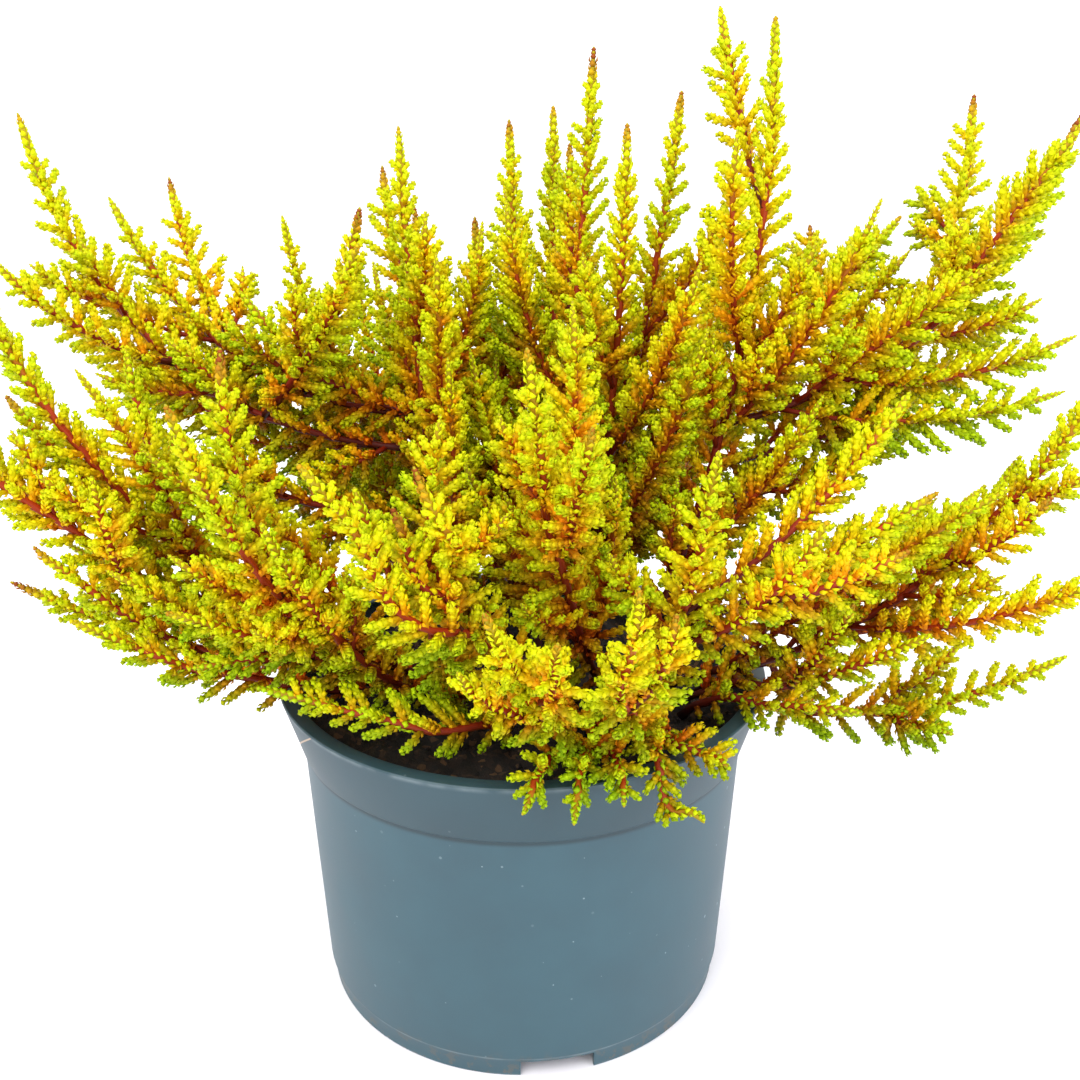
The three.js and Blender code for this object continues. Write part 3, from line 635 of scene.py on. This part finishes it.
class Twig:
    """One stem, fork or sprig: its line, and its frame at any distance from its start."""

    def __init__(self, name, points, radius, kind):
        self.name, self.kind, self.radius = name, kind, radius
        self.line = catmull_rom(points, LINE_STEPS)
        steps = np.linalg.norm(np.diff(self.line, axis=0), axis=1)
        self.length_at = np.concatenate([[0], np.cumsum(steps)])
        self.length = self.length_at[-1]
        tip = points[-1]
        away = tip - (points[0] if kind == "sprig" else PLANT_CENTRE)
        self.flat = kind != "sprig" and tip[1] < FLAT_IN_FRONT_OF and tip[2] < FLAT_BELOW
        self.across = unit(np.cross(tip - points[0], WINDOW) if self.flat
                           else np.array([-away[1], away[0], 1e-6]))
        self.turn = random.normal(0, TURN_STRAY) + (0 if self.flat else np.pi / 4)
        self.turn_a_node = np.pi if self.flat else np.pi / 2
        self.young = kind == "sprig"
        self.taken = set()
        self.tone = random.uniform(-1, 1)

    def at(self, distance):
        """Places, directions along, and the two directions across, at distances from the start."""
        before, place, ahead = (
            np.stack([np.interp(distance + step, self.length_at, self.line[:, k]) for k in range(3)], -1)
            for step in (-GLANCE, 0, GLANCE))
        along = unit(ahead - before)
        across = unit(self.across - along * (along @ self.across)[..., None])
        return place, along, across, np.cross(along, across)

    def radius_at(self, distance):
        """Radius of the wood at distances from the start."""
        tip = TIP_THICKNESS[self.young]
        return self.radius + (tip - self.radius) * np.clip(distance / self.length, 0, 1) ** TAPER_POWER


def in_the_pot(points, room):
    """Which points, with some room round them, would meet the peat or the pot."""
    x, y, z = np.moveaxis(points, -1, 0)
    radius = np.hypot(x, y)
    wall = np.interp(z, POT_OUTSIDE_HEIGHTS, POT_OUTSIDE_RADII)
    inside = radius < RIM_RADIUS - LIP_WIDTH - room
    return np.where(inside, z - room < soil_height(x, y), (radius < wall + room) & (z - room < POT_HEIGHT))


def node_places(twig):
    """Distances along a twig at which it carries a pair of branchlets."""
    bare = BARE_SHARE[twig.young] * (FORK_BARE_SHARE if twig.kind == "fork" else 1)
    places, s = [], bare * twig.length + FIRST_NODE
    last = twig.length - min(END_ROOM, END_SHARE * twig.length)
    spacing = FLAT_STEP_SHARE if twig.flat else LOW_STEP_SHARE if twig.line[-1, 2] < LOW_TIP else 1
    while s < last:
        places.append(s)
        room = (1 - s / twig.length) ** NODE_STEP_POWER
        extra = (NODE_STEP[twig.kind] - NODE_STEP_AT_TIP) * room * min(1, twig.length / LONG_TWIG)
        s += (NODE_STEP_AT_TIP + extra) * spacing
    return np.array(places)


def branch_frame(twig, places, angles):
    """Outward directions, one for each place and angle round the twig."""
    place, along, across, up = twig.at(places)
    return place, along, between(across, up, angles)


def too_far_out(line):
    """Whether a sprig would leave the plant's own size, or lie low over the peat and the rim."""
    low, high = np.array(cad_box) / MM
    past = (line < low + SPRIG_MARGIN).any(1) | (line > high - SPRIG_MARGIN).any(1)
    past |= line[:, 1] < SPRIG_FRONT
    over_peat = np.hypot(line[:, 0], line[:, 1]) < RIM_RADIUS - LIP_WIDTH
    lowest = POT_HEIGHT + np.where(over_peat, LOWEST_OVER_PEAT, LOWEST_OUTSIDE)
    return (past | (line[:, 2] < lowest)).any()


def sprig_points(place, along, outward, length, angle, bend):
    """A sprig's line: it leaves the stem at an angle and bends forward, and a little upward."""
    way = along * math.cos(angle) + outward * math.sin(angle)
    forward = along * math.sin(angle) - outward * math.cos(angle)
    reach = np.linspace(0, length, SPRIG_POINTS)[:, None]
    turn = bend * reach / length
    line = place + (way * np.sin(turn) + forward * (1 - np.cos(turn))) * length / bend
    line[:, 2] += (reach[:, 0] / length) ** 2 * SPRIG_LIFT * length
    return line


class Wood:
    """All wood grown so far, which tells how much room a new sprig has round it."""

    def __init__(self, lines):
        self.points = [point for line in lines for point in line[::WOOD_STEP]]
        self.plant()

    def plant(self):
        """Sorts the points so that the nearest can be found."""
        self.tree = KDTree(len(self.points))
        for n, point in enumerate(self.points):
            self.tree.insert(point, n)
        self.tree.balance()

    def grow(self, line):
        """Adds a new sprig's line."""
        self.points.extend(line[::WOOD_STEP])
        self.plant()

    def room_round(self, line):
        """Distance from a line's points to the nearest wood."""
        return min(self.tree.find(point)[2] for point in line)


def best_sprig(twig, places, first, length, plan):
    """The best free place for a sprig of this length at two nodes: score, node, flank and line."""
    tried = []
    for n in (first, first + 1):
        for flank in (0, 1):
            if (n, flank) in twig.taken:
                continue
            heading = twig.turn + n * twig.turn_a_node + flank * np.pi
            place, along, outward = branch_frame(twig, places[n:n + 1], np.array([heading]))
            line = sprig_points(place[0], along[0], outward[0], length, plan["angle"], plan["bend"])
            start = 1 + int((SPRIG_POINTS - 1) * min(1, BESIDE_TWIG * plan["room"] / length))
            free = not in_the_pot(line[2:], SPRIG_CLEARANCE).any() and not too_far_out(line[2:])
            if start < SPRIG_POINTS and free:
                out = outward[0] @ unit(place[0] - PLANT_CENTRE)
                room = wood.room_round(line[start:])
                if room > plan["room"]:
                    tried.append((room - OUTWARD_PENALTY * out, n, flank, line))
    return max(tried, key=lambda entry: entry[0], default=None)


def sprout(twig, plan):
    """Adds a twig's sprigs from its foot up, each as long as the open room lets it be."""
    places = node_places(twig)
    for first in range(1, len(places) - 2, plan["every"]):
        share = places[first] / twig.length
        if share > plan["to"]:
            break
        full = plan["length"] * (1 - share) ** SPRIG_FADE * random.uniform(*SPRIG_SPREAD)
        full *= min(1, twig.length / FULL_TWIG)
        for part in SPRIG_TRIES:
            if part * full < plan["shortest"]:
                break
            best = best_sprig(twig, places, first, part * full, plan)
            if best:
                _, n, flank, line = best
                sprig = Twig(twig.name, line, twig.radius_at(places[n]) * SPRIG_RADIUS_SHARE, "sprig")
                sprig.tone = PARENT_TONE * twig.tone + OWN_TONE * sprig.tone
                twigs.append(sprig)
                twig.taken.add((n, flank))
                wood.grow(sprig.line)
                break


twigs = []
for stem in stems:
    kind = "fork" if stem["parent"] else "stem"
    radius = STEM_RADIUS * (FORK_RADIUS_SHARE if stem["parent"] else 1)
    twigs.append(Twig(stem["name"], stem["points"], radius, kind))

# Long sprigs fill the wide gaps first, then short ones fill what is left between them.
wood = Wood([twig.line for twig in twigs])
forked = [twig for twig in twigs if twig.line[-1, 2] > SINGLE_BELOW]
for plan in (LONG_SPRIG, SHORT_SPRIG):
    for twig in forked + twigs[len(stems):]:
        if twig.length > plan["carrier"]:
            sprout(twig, plan)

# Everything that belongs to one shoot is gathered under its name: corner points in millimetres,
# triangles, growth (ripeness, sun, place along the leaf, chance), the place and cell of each
# triangle corner on a flat chart, and which layer it is.
BARK_LAYER, LEAF_LAYER = 0, 1
gathered = {name: [] for name, _, _ in plans}
cells = {name: 0 for name, _, _ in plans}
PLANT_REACH = np.array([125, 98, 118])
SUN_ANYWHERE, SUN_OUTSIDE, SUN_FROM_ABOVE, SUN_LOST_BELOW = 0.1, 0.6, 0.38, 0.2
SHADE_TOP, SHADE_DEPTH = 130, 45


def gather(name, points, triangles, growth, chart, cell, layer):
    """Adds one layer of a twig to its shoot."""
    gathered[name].append((points, triangles, growth, chart, cell, layer))


def outside(points):
    """How far out a place lies: 0 in the middle of the plant, 1 at its outer shoots."""
    return np.clip(np.linalg.norm((points - PLANT_CENTRE) / PLANT_REACH, axis=-1), 0, 1)


def sun_on(points, outward):
    """How much sun a place has: more at the outside and on upward faces, less low down. Low values call up
    the painted shade of leaves and bark.
    """
    low = np.clip((SHADE_TOP - points[..., 2]) / SHADE_DEPTH, 0, 1)
    return np.clip(SUN_ANYWHERE + SUN_OUTSIDE * outside(points) + SUN_FROM_ABOVE * outward[..., 2]
                   - SUN_LOST_BELOW * low, 0, 1)


ROOT_DEPTH, BARK_END, YOUNG_WOOD = 1.5, 0.3, 0.35
SWELLING, SWELLING_STRAY = 0.13, 0.04


def add_bark(twig):
    """A round twig with a slight swelling every few millimetres and a closed end."""
    count = max(4, int(round(twig.length / BARK_STEP)))
    places = np.linspace(0, twig.length, count + 1)
    place, along, across, up = twig.at(places)
    if twig.kind == "stem":
        place[0] -= along[0] * ROOT_DEPTH
    rim = np.arange(BARK_SIDES)
    beyond = (rim + 1) % BARK_SIDES
    angles = rim * 2 * np.pi / BARK_SIDES
    swelling = 1 + SWELLING * (-1.0) ** np.arange(count + 1) + random.normal(0, SWELLING_STRAY, count + 1)
    radius = twig.radius_at(places) * swelling
    radius[-1] *= BARK_END
    outward = across[:, None] * np.cos(angles)[None, :, None] + up[:, None] * np.sin(angles)[None, :, None]
    ring = place[:, None] + outward * radius[:, None, None]
    points = np.vstack([ring.reshape(-1, 3), place[:1], place[-1:]])
    first = np.arange(count)[:, None] * BARK_SIDES + rim
    beside = np.arange(count)[:, None] * BARK_SIDES + beyond
    bands = np.stack([np.stack([first, beside, beside + BARK_SIDES], -1),
                      np.stack([first, beside + BARK_SIDES, first + BARK_SIDES], -1)], 2).reshape(-1, 3)
    top = count * BARK_SIDES
    ends = np.vstack([np.stack([np.full(BARK_SIDES, len(points) - 2), beyond, rim], -1),
                      np.stack([np.full(BARK_SIDES, len(points) - 1), rim + top, beyond + top], -1)])
    share = np.concatenate([np.repeat(places / twig.length, BARK_SIDES), [0, 1]])
    if twig.young:
        share = YOUNG_WOOD + (1 - YOUNG_WOOD) * share
    # The sun value mixes lit and painted-shade bark, so a stem's top is painted lighter than its underside.
    sun = np.concatenate([sun_on(ring, outward).ravel(), [0.5, 0.5]])
    growth = np.stack([share, sun, share, np.full(len(points), twig.tone)], -1)
    # One chart cell a band, and one for each end
    u = np.stack([rim, rim + 1], -1) / BARK_SIDES
    pair = np.stack([np.stack([u[:, 0], u[:, 1], u[:, 1]], -1), np.stack([u[:, 0], u[:, 1], u[:, 0]], -1)], 1)
    rise = np.broadcast_to(np.array([[0, 0, 1], [0, 1, 1]]), (BARK_SIDES, 2, 3))
    chart = np.tile(np.stack([pair, rise], -1).reshape(-1, 3, 2), (count, 1, 1))
    fan = np.full((BARK_SIDES, 3, 2), 0.5)
    fan[:, 1:, 0] = u
    fan[:, 1:, 1] = 0
    chart = np.concatenate([chart, fan, fan])
    cell = np.repeat(np.arange(count + 2), [2 * BARK_SIDES] * count + [BARK_SIDES] * 2) + cells[twig.name]
    cells[twig.name] += count + 2
    gather(twig.name, points, np.vstack([bands, ends]), growth, chart, cell, BARK_LAYER)


# ---------------------------------------------------------------- the leaves
# Heather leaves are scales 2 mm long. Each is a keeled, pointed little boat that sits close on its
# branchlet, in pairs, each pair turned a quarter from the one below, so that they stand in four rows.
LEAF_LENGTH, LEAF_WIDTH, LEAF_PITCH = 2.15, 1.76, 1.18
LEAF_TRIANGLES = np.array([(0, 1, 3), (0, 3, 2), (1, 4, 3), (3, 4, 2), (0, 4, 1), (0, 2, 4)])
LEAF_PLACES = (0, 0.55, 0.55, 0.5, 1)
LEAF_CHART = np.array([(0.5, 0.02), (0.04, 0.55), (0.96, 0.55), (0.5, 0.5), (0.5, 0.98)])
LEAF_BOX, CHART_GAP = 0.23, 0.01


def ripeness(share, age, chance, out):
    """How far a leaf has turned from the orange of a shaded foot to the lime yellow of a young tip."""
    return np.clip(0.2 * out - 0.05 + share ** 1.1 * (0.44 + 0.32 * age) + 0.24 * age + 0.1 * chance, 0, 0.88)


def add_leaves(name, place, along, outward, sideways, core, size, closing, ripe, sun, chance, cell, box):
    """Scale leaves, one for each place. closing is 1 where the leaf shuts over the branchlet's end."""
    size, core, closing = size[:, None], core[:, None], closing[:, None]
    length, half = LEAF_LENGTH * size, LEAF_WIDTH / 2 * size
    # The five corners in turn: foot, two flanks, keel and point
    flank = core - (0.06 + 0.24 * closing) * size
    heights = [core * 0.3, flank, flank, core + (0.26 - 0.32 * closing) * size,
               core + (0.07 - 0.8 * closing) * size]
    reach = [0 * length, 0.55 * length, 0.55 * length, 0.48 * length, length * (1 - 0.15 * closing)]
    across = [0, -half, half, 0, 0]
    points = np.stack([place + along * r + outward * h + sideways * w
                       for r, h, w in zip(reach, heights, across)], 1)
    triangles = LEAF_TRIANGLES[None] + 5 * np.arange(len(place))[:, None, None]
    # Leaves that face up get more sun, and so less painted shade.
    sun = np.clip(sun + 0.12 * outward[:, 2], 0, 1)[:, None] + np.zeros(5)
    growth = np.stack([np.broadcast_to(v, sun.shape)
                       for v in (ripe[:, None], sun, LEAF_PLACES, chance[:, None])], -1)
    low, high = box
    chart = low[:, None, None] + LEAF_CHART[LEAF_TRIANGLES][None] * (high - low)[:, None, None]
    gather(name, points.reshape(-1, 3), triangles.reshape(-1, 3), growth.reshape(-1, 4),
           chart.reshape(-1, 3, 2), np.repeat(cell, len(LEAF_TRIANGLES)), LEAF_LAYER)


SPIKE_LENGTH, SPIKE_END, SPIKE_PITCH, SPIKE_PITCH_AT_TIP = 12, 0.8, 1.35, 0.85
SPIKE_COVER, SPIKE_STOUTNESS = (3.2, 1.2), (1.12, 0.88)
SPIKE_TURN, SMALLEST_SPIKE_LEAF, CLOSING_LENGTH = 0.1, 0.66, 2.6
LEVELS_A_CELL = 8


def add_spike(twig):
    """The leaf pairs on the end of the twig itself. They close up to its tip, shrink and shut."""
    places, s = [], twig.length - SPIKE_LENGTH * SPIKE_COVER[twig.young]
    while s < twig.length - SPIKE_END:
        places.append(s)
        share = max(0, 1 - (twig.length - s) / (2 * SPIKE_LENGTH))
        s += SPIKE_PITCH + (SPIKE_PITCH_AT_TIP - SPIKE_PITCH) * share
    levels = len(places)
    places = np.repeat(places, 2)
    place, along, across, up = twig.at(places)
    level = np.repeat(np.arange(levels), 2)
    which = np.tile([0, 1], levels)
    angle = twig.turn + level * np.pi / 2 + which * np.pi + SPIKE_TURN * level
    outward, sideways = between(across, up, angle), between(up, -across, angle)
    left = twig.length - places
    taper = np.clip(1 - left / BARK_STEP, 0, 1)
    size = np.clip(SMALLEST_SPIKE_LEAF + left / SPIKE_LENGTH * 0.5, SMALLEST_SPIKE_LEAF, 1)
    size = size * random.uniform(0.95, 1.05, len(level)) * SPIKE_STOUTNESS[twig.young]
    size *= 1 - 0.2 * taper
    core = np.maximum(twig.radius_at(places) * (1 - 0.7 * taper) * 1.06,
                      0.88 * CORE_RADIUS * size * (1 - 0.45 * taper))
    closing = np.clip(1.25 - left / CLOSING_LENGTH, 0, 1)
    ripe = np.maximum(0.42 + 0.46 * (places / twig.length), twig.bud - 0.02 * left)
    cell = cells[twig.name] + level // LEVELS_A_CELL
    row, column = (level % LEVELS_A_CELL) // 2, (level % 2) * 2 + which
    low = np.stack([column / 4 + CHART_GAP, row / 4 + CHART_GAP], -1)
    add_leaves(twig.name, place, along, outward, sideways, core, size, closing, ripe,
               sun_on(place, along), np.full(len(level), twig.tone), cell, (low, low + LEAF_BOX))
    cells[twig.name] += (levels - 1) // LEVELS_A_CELL + 1


# Branchlets are stubby fingers, each a thin core clad in leaf pairs. They stand in pairs too, lean
# less and are shorter towards the twig's tip, and stray a little from their places. Their leaves
# come in four rows, which stand ROW_TURN, about an eighth of a turn, off the bend.
BRANCHLET_LENGTH, BRANCHLET_ANGLE, BRANCHLET_ANGLE_AT_TIP, BRANCHLET_BEND = 13.2, 66, 50, 0.38
SHORTEST_GROWN, SHORTEST_KEPT, LEAN_STRAY = 1.9, 1.5, 0.13
STRAY_TURN, STRAY_SLIP = {True: 0.3, False: 0.16}, {True: 0.6, False: 0.4}
END_CLEARANCE, KEPT_CLEARANCE, FOOT_CLEARANCE = 1.5, 1.3, 0.8
CORE_RADIUS, CORE_SIDES, ROW_TURN = 1.1, 4, 0.78


class Branchlets:
    """A twig's branchlets, with an entry in each array for each one that has room to grow."""

    def __init__(self, twig):
        places = node_places(twig)
        node_of = np.repeat(np.arange(len(places)), 2)
        flank = np.tile([0, 1], len(places))
        crossed = np.pi / 2 * (twig.flat & (node_of % CROSSED_PAIR == CROSSED_PAIR - 1))
        angle = twig.turn + node_of * twig.turn_a_node + flank * np.pi + crossed
        angle = angle + random.normal(0, STRAY_TURN[twig.flat], len(node_of))
        s = places[node_of] + random.normal(0, STRAY_SLIP[twig.flat], len(node_of))
        bare = BARE_SHARE[twig.young]
        age = np.clip((s / twig.length - bare) / (1 - bare), 0, 1)
        length = BRANCHLET_LENGTH * self.size_on(twig) * (1 - age ** 2.3) ** 0.85
        length = length * np.clip(0.7 + 1.8 * age, 0, 1)
        length = np.maximum(length * random.uniform(0.8, 1.14, len(s)), SHORTEST_GROWN)
        lean = np.radians(BRANCHLET_ANGLE + (BRANCHLET_ANGLE_AT_TIP - BRANCHLET_ANGLE) * age)
        lean = lean + random.normal(0, LEAN_STRAY, len(s))
        place, along, outward = branch_frame(twig, s, angle)
        outer = np.clip((outward * unit(place - PLANT_CENTRE)).sum(-1), 0, 1)
        length *= 1 - 0.3 * outer - 0.12 * np.clip(-outward[:, 2], 0, 1)
        way, forward = between(along, outward, lean), between(-outward, along, lean)
        base = place + outward * (twig.radius_at(s) * 0.5)[:, None]
        for _ in range(3):
            end = base + way * length[:, None]
            blocked = in_the_pot(end, END_CLEARANCE) | in_the_pot((base + end) / 2, END_CLEARANCE)
            length = np.where(blocked, length * 0.6, length)
        end = base + way * length[:, None]
        keep = np.array([(n, k) not in twig.taken for n, k in zip(node_of, flank)])
        keep &= ~(in_the_pot(end, KEPT_CLEARANCE) | in_the_pot(base, FOOT_CLEARANCE))
        keep &= length > SHORTEST_KEPT
        kept = (base, way, forward, np.cross(way, forward), length, age)
        self.base, self.way, self.forward, self.beside, self.length, self.age = (v[keep] for v in kept)
        self.count = len(self.base)
        self.curve = BRANCHLET_BEND * random.uniform(0.5, 1.4, self.count) / self.length
        self.chance = np.clip(0.6 * random.normal(0, 0.6, self.count) + 0.5 * twig.tone, -1, 1)
        self.levels = np.maximum(2, np.round(self.length / LEAF_PITCH)).astype(int)
        self.rows = (self.levels + 1) // 2
        self.girth = np.clip(0.74 + 0.026 * self.length, 0.78, 1.04)
        self.out = outside(self.base) + 0.3 * np.clip((self.base[:, 2] - 120) / 80, -1, 1)
        self.sun = sun_on(self.base + self.way * self.length[:, None] / 2, self.way)

    @staticmethod
    def size_on(twig):
        """Short twigs carry short branchlets, and sprigs the shortest."""
        if twig.young:
            return 0.9 * np.clip(twig.length / 75 + 0.42, 0.7, 1.05)
        return np.clip(twig.length / 120 + 0.34, 0.78, 1.08)

    def at(self, which, reach):
        """Places, directions, and the two cross directions, at a distance along a branchlet."""
        turn = self.curve[which] * reach
        w, f, c = self.way[which], self.forward[which], self.curve[which][:, None]
        place = self.base[which] + w * np.sin(turn)[:, None] / c + f * (1 - np.cos(turn))[:, None] / c
        return place, between(w, f, turn), between(f, -w, turn), self.beside[which]


def clad(name, grown):
    """The leaves of a twig's branchlets. The last pair closes over each branchlet's end."""
    which = np.repeat(np.arange(grown.count), 2 * grown.levels)
    level = np.concatenate([np.repeat(np.arange(n), 2) for n in grown.levels])
    partner = np.tile([0, 1], len(which) // 2)
    left = grown.levels[which] - 1 - level
    pitch = (grown.length / grown.levels)[which]
    place, along, up, across = grown.at(which, (level * pitch - 0.1))
    angle = level * np.pi / 2 + partner * np.pi + ROW_TURN
    outward, sideways = between(up, across, angle), between(across, -up, angle)
    small = grown.girth[which]
    size = small * np.where(level == 0, 0.85, np.where(left == 0, 0.84, 1.0))
    size = size * random.uniform(0.92, 1.08, len(which))
    closing = np.where(left == 0, 0.9, np.where(left == 1, 0.35, 0.0))
    core = CORE_RADIUS * small * np.where(left == 0, 0.88, 1)
    share = (level + 0.5) / grown.levels[which]
    ripe = ripeness(share, grown.age[which], grown.chance[which], grown.out[which])
    high = 1 / (grown.rows[which] + 1)
    low = np.stack([((level % 2) * 2 + partner) / 4 + CHART_GAP, level // 2 * high + CHART_GAP], -1)
    box = (low, low + np.stack([np.full(len(level), LEAF_BOX), high - 2 * CHART_GAP], -1))
    add_leaves(name, place, along, outward, sideways, core, size, closing, ripe, grown.sun[which],
               grown.chance[which], cells[name] + which, box)


CORE_RINGS, CORE_HEIGHTS = (0.8, 0.9), (0, 0.65, 1)
CORE_FOOT, CORE_POINT = -0.2, 0.25


def fill(name, grown):
    """The thin cores inside the leaves: two rings of four corners and a point."""
    every = np.arange(grown.count)
    reach = (np.full(grown.count, CORE_FOOT), CORE_HEIGHTS[1] * grown.length, grown.length + CORE_POINT)
    rings = []
    for thick, distance in zip(CORE_RINGS, reach):
        p, _, u, c = grown.at(every, distance)
        for q in range(CORE_SIDES):
            turn = ROW_TURN + q * 2 * np.pi / CORE_SIDES
            aside = u * math.cos(turn) + c * math.sin(turn)
            rings.append(p + aside * (CORE_RADIUS * thick * grown.girth)[:, None])
    rings.append(grown.at(every, reach[2])[0])
    points = np.stack(rings, 1)
    q = np.arange(CORE_SIDES)
    r = (q + 1) % CORE_SIDES
    triangles = np.vstack([np.stack([q, r, r + 4], -1), np.stack([q, r + 4, q + 4], -1),
                           np.stack([q + 4, r + 4, np.full(4, 8)], -1), [(0, 2, 1), (0, 3, 2)]])
    height = np.repeat(CORE_HEIGHTS, [4, 4, 1])
    around = np.append(np.tile(q / CORE_SIDES, 2), 0.5)
    ripe = ripeness(height[None], grown.age[:, None], grown.chance[:, None], grown.out[:, None]) - 0.05
    growth = np.stack([np.broadcast_to(v, ripe.shape)
                       for v in (ripe, grown.sun[:, None], 0.2, grown.chance[:, None])], -1)
    low = (grown.rows / (grown.rows + 1.0))[:, None, None]
    corner = np.stack([around, height], -1)[triangles]
    chart = np.broadcast_to(corner[None], (grown.count, *corner.shape)).copy()
    chart[..., 1] = low + 2 * CHART_GAP + chart[..., 1] * (1 - low - 3 * CHART_GAP)
    gather(name, points.reshape(-1, 3), (triangles[None] + 9 * every[:, None, None]).reshape(-1, 3),
           growth.reshape(-1, 4), chart.reshape(-1, 3, 2),
           np.repeat(cells[name] + every, len(triangles)), LEAF_LAYER)
    cells[name] += grown.count


# Some shoots end in a closed, reddish brown bud.
BUD_SHARE, BUD_RIPENESS, BUD_ABOVE = 0.75, (0.95, 1.08), 120
for twig in twigs:
    can_bud = not twig.young and twig.line[-1, 2] > BUD_ABOVE
    twig.bud = random.uniform(*BUD_RIPENESS) if can_bud and random.uniform(0, 1) < BUD_SHARE else 0
for twig in twigs:
    add_bark(twig)
    add_spike(twig)
    branchlets = Branchlets(twig)
    if branchlets.count:
        clad(twig.name, branchlets)
        fill(twig.name, branchlets)

# Heather bark: thin and satin, dark and woody at the foot, cherry red in the sun and straw yellow
# where it is this year's growth. A darker copy of these colours is painted shade, mixed in where
# the sun value is low: on the undersides of stems, inside the plant and low down.
bark, node = new_material("heather bark, young wood")
growth = node("SeparateColor", {"Color": node("Attribute", attribute_name="growth")})
# Painted shade: the shaded ramp is the bark darkened for shade, and the sunny ramp is the lit bark.
shaded = node("ValToRGB", {"Fac": growth.outputs["Red"]}, [
    (0.0, "#2A1008"), (0.35, "#4C1006"), (0.78, "#702C06"), (1.0, "#74740A")])
sunny = node("ValToRGB", {"Fac": growth.outputs["Red"]}, [
    (0.0, "#4C180C"), (0.3, "#8C200A"), (0.78, "#B03A0A"), (1.0, "#B8A808")])
tone = node("Mix", {"Factor": growth.outputs["Green"], "A": shaded, "B": sunny}, data_type="RGBA")
flake = node("TexNoise", {"Vector": in_millimetres(node), "Scale": 1 / 0.8, "Detail": 3})
relief = node("Bump", {"Height": flake, "Strength": 0.4, "Distance": 0.15 * MM})
surface = node("BsdfPrincipled", {
    "Base Color": tone, "Roughness": 0.5, "Specular IOR Level": 0.22, "Normal": relief})
node("OutputMaterial", {"Surface": surface})

# Gold heather leaf, waxy. It is orange where it meets the stem, golden and then lemon towards the
# tip, lime green out of the sun, and brown on a closed bud. Some patches are riper than others, but
# never so ripe that an open leaf turns brown. The shade colours are also darker than the sun ones,
# and leaves are darkened further where the sun value is low and at each leaf's foot: painted shade.
LEAF_RIPEST, LEAF_DRIFT, SIDE_DRIFT = 0.87, (0.44, -0.21), 0.32
leaf, node = new_material("gold heather leaf, waxy")
growth = node("SeparateColor", {"Color": node("Attribute", attribute_name="growth")})
ripeness_of, sun_of = growth.outputs["Red"], growth.outputs["Green"]
place = in_millimetres(node)
patch = node("TexNoise", {"Vector": place, "Scale": 1 / 9, "Detail": 2})
drift = node("Math", {0: patch, 1: LEAF_DRIFT[0], 2: LEAF_DRIFT[1]}, operation="MULTIPLY_ADD")
drifted = node("Math", {0: ripeness_of, 1: drift}, operation="ADD")
ripest = node("Math", {0: ripeness_of, 1: LEAF_RIPEST}, operation="MAXIMUM")
ripe = node("Math", {0: drifted, 1: ripest}, operation="MINIMUM")
sunny = node("ValToRGB", {"Fac": ripe}, [
    (0.0, "#CC4208"), (0.16, "#E07208"), (0.34, "#E8A604"), (0.55, "#E0C802"), (0.86, "#C8D402"),
    (0.91, "#C49A0C"), (1.0, "#90481A")])
# Shade copy: its greener tint is the leaf's own colour, and its darkness is painted shade.
shaded = node("ValToRGB", {"Fac": ripe}, [
    (0.0, "#AA5406"), (0.2, "#BA9004"), (0.5, "#9EBC04"), (0.86, "#A2CA06"), (0.91, "#A4900A"),
    (1.0, "#7A3C18")])
side = node("TexNoise", {"Vector": place, "Scale": 1 / 34, "Detail": 1})
sides = node("MapRange", {
    "Value": side, "From Min": 0.36, "From Max": 0.64, "To Min": -SIDE_DRIFT, "To Max": SIDE_DRIFT})
sun = node("Math", {0: sun_of, 1: sides}, operation="ADD", use_clamp=True)
tone = node("Mix", {"Factor": sun, "A": shaded, "B": sunny}, data_type="RGBA")
# Painted shade: each leaf is darker at its foot, tucked under the one before, and lighter at its point.
depth = node("MapRange", {"Value": growth.outputs["Blue"], "To Min": 0.8, "To Max": 1.05})
# Painted shade: leaves deep in the plant, low down or facing down are darkened, and the sunniest are
# brightened.
painted_shade = node("MapRange", {"Value": sun_of, "From Max": 0.75, "To Min": 0.66, "To Max": 1.12})
painted_light = node("Math", {0: depth, 1: painted_shade}, operation="MULTIPLY")
lit = node("Mix", {"Factor": 1.0, "A": tone, "B": painted_light}, data_type="RGBA", blend_type="MULTIPLY")
surface = node("BsdfPrincipled", {"Base Color": lit, "Roughness": 0.55, "Specular IOR Level": 0.12})
node("OutputMaterial", {"Surface": surface})

# Each shoot becomes one piece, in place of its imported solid.
CHART_MARGIN = 0.04
for name, parts in gathered.items():
    points, triangles, growth, chart, cell, layer = zip(*parts)
    start = np.cumsum([0] + [len(p) for p in points])
    piece = mesh_of("heather_" + name, np.vstack(points) * MM,
                    np.vstack([t + offset for t, offset in zip(triangles, start)]))
    mesh = piece.data
    grown = mesh.attributes.new("growth", "FLOAT_COLOR", "POINT")
    grown.data.foreach_set("color", np.vstack(growth).astype(np.float32).ravel())
    columns = int(math.ceil(math.sqrt(cells[name])))
    cell = np.concatenate(cell)
    chart = np.concatenate(chart) * (1 - 2 * CHART_MARGIN) + CHART_MARGIN
    chart = (chart + np.stack([cell % columns, cell // columns], -1)[:, None]) / columns
    mesh.uv_layers.new(name="OFBake").data.foreach_set("uv", chart.astype(np.float32).ravel())
    mesh.materials.append(bark)
    mesh.materials.append(leaf)
    layers = np.repeat(np.array(layer, np.int32), [len(t) for t in triangles])
    mesh.polygons.foreach_set("material_index", layers)
    mesh.polygons.foreach_set("use_smooth", np.ones(len(layers), bool))
    mesh.update()
    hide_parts(name)
    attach(piece, "root")
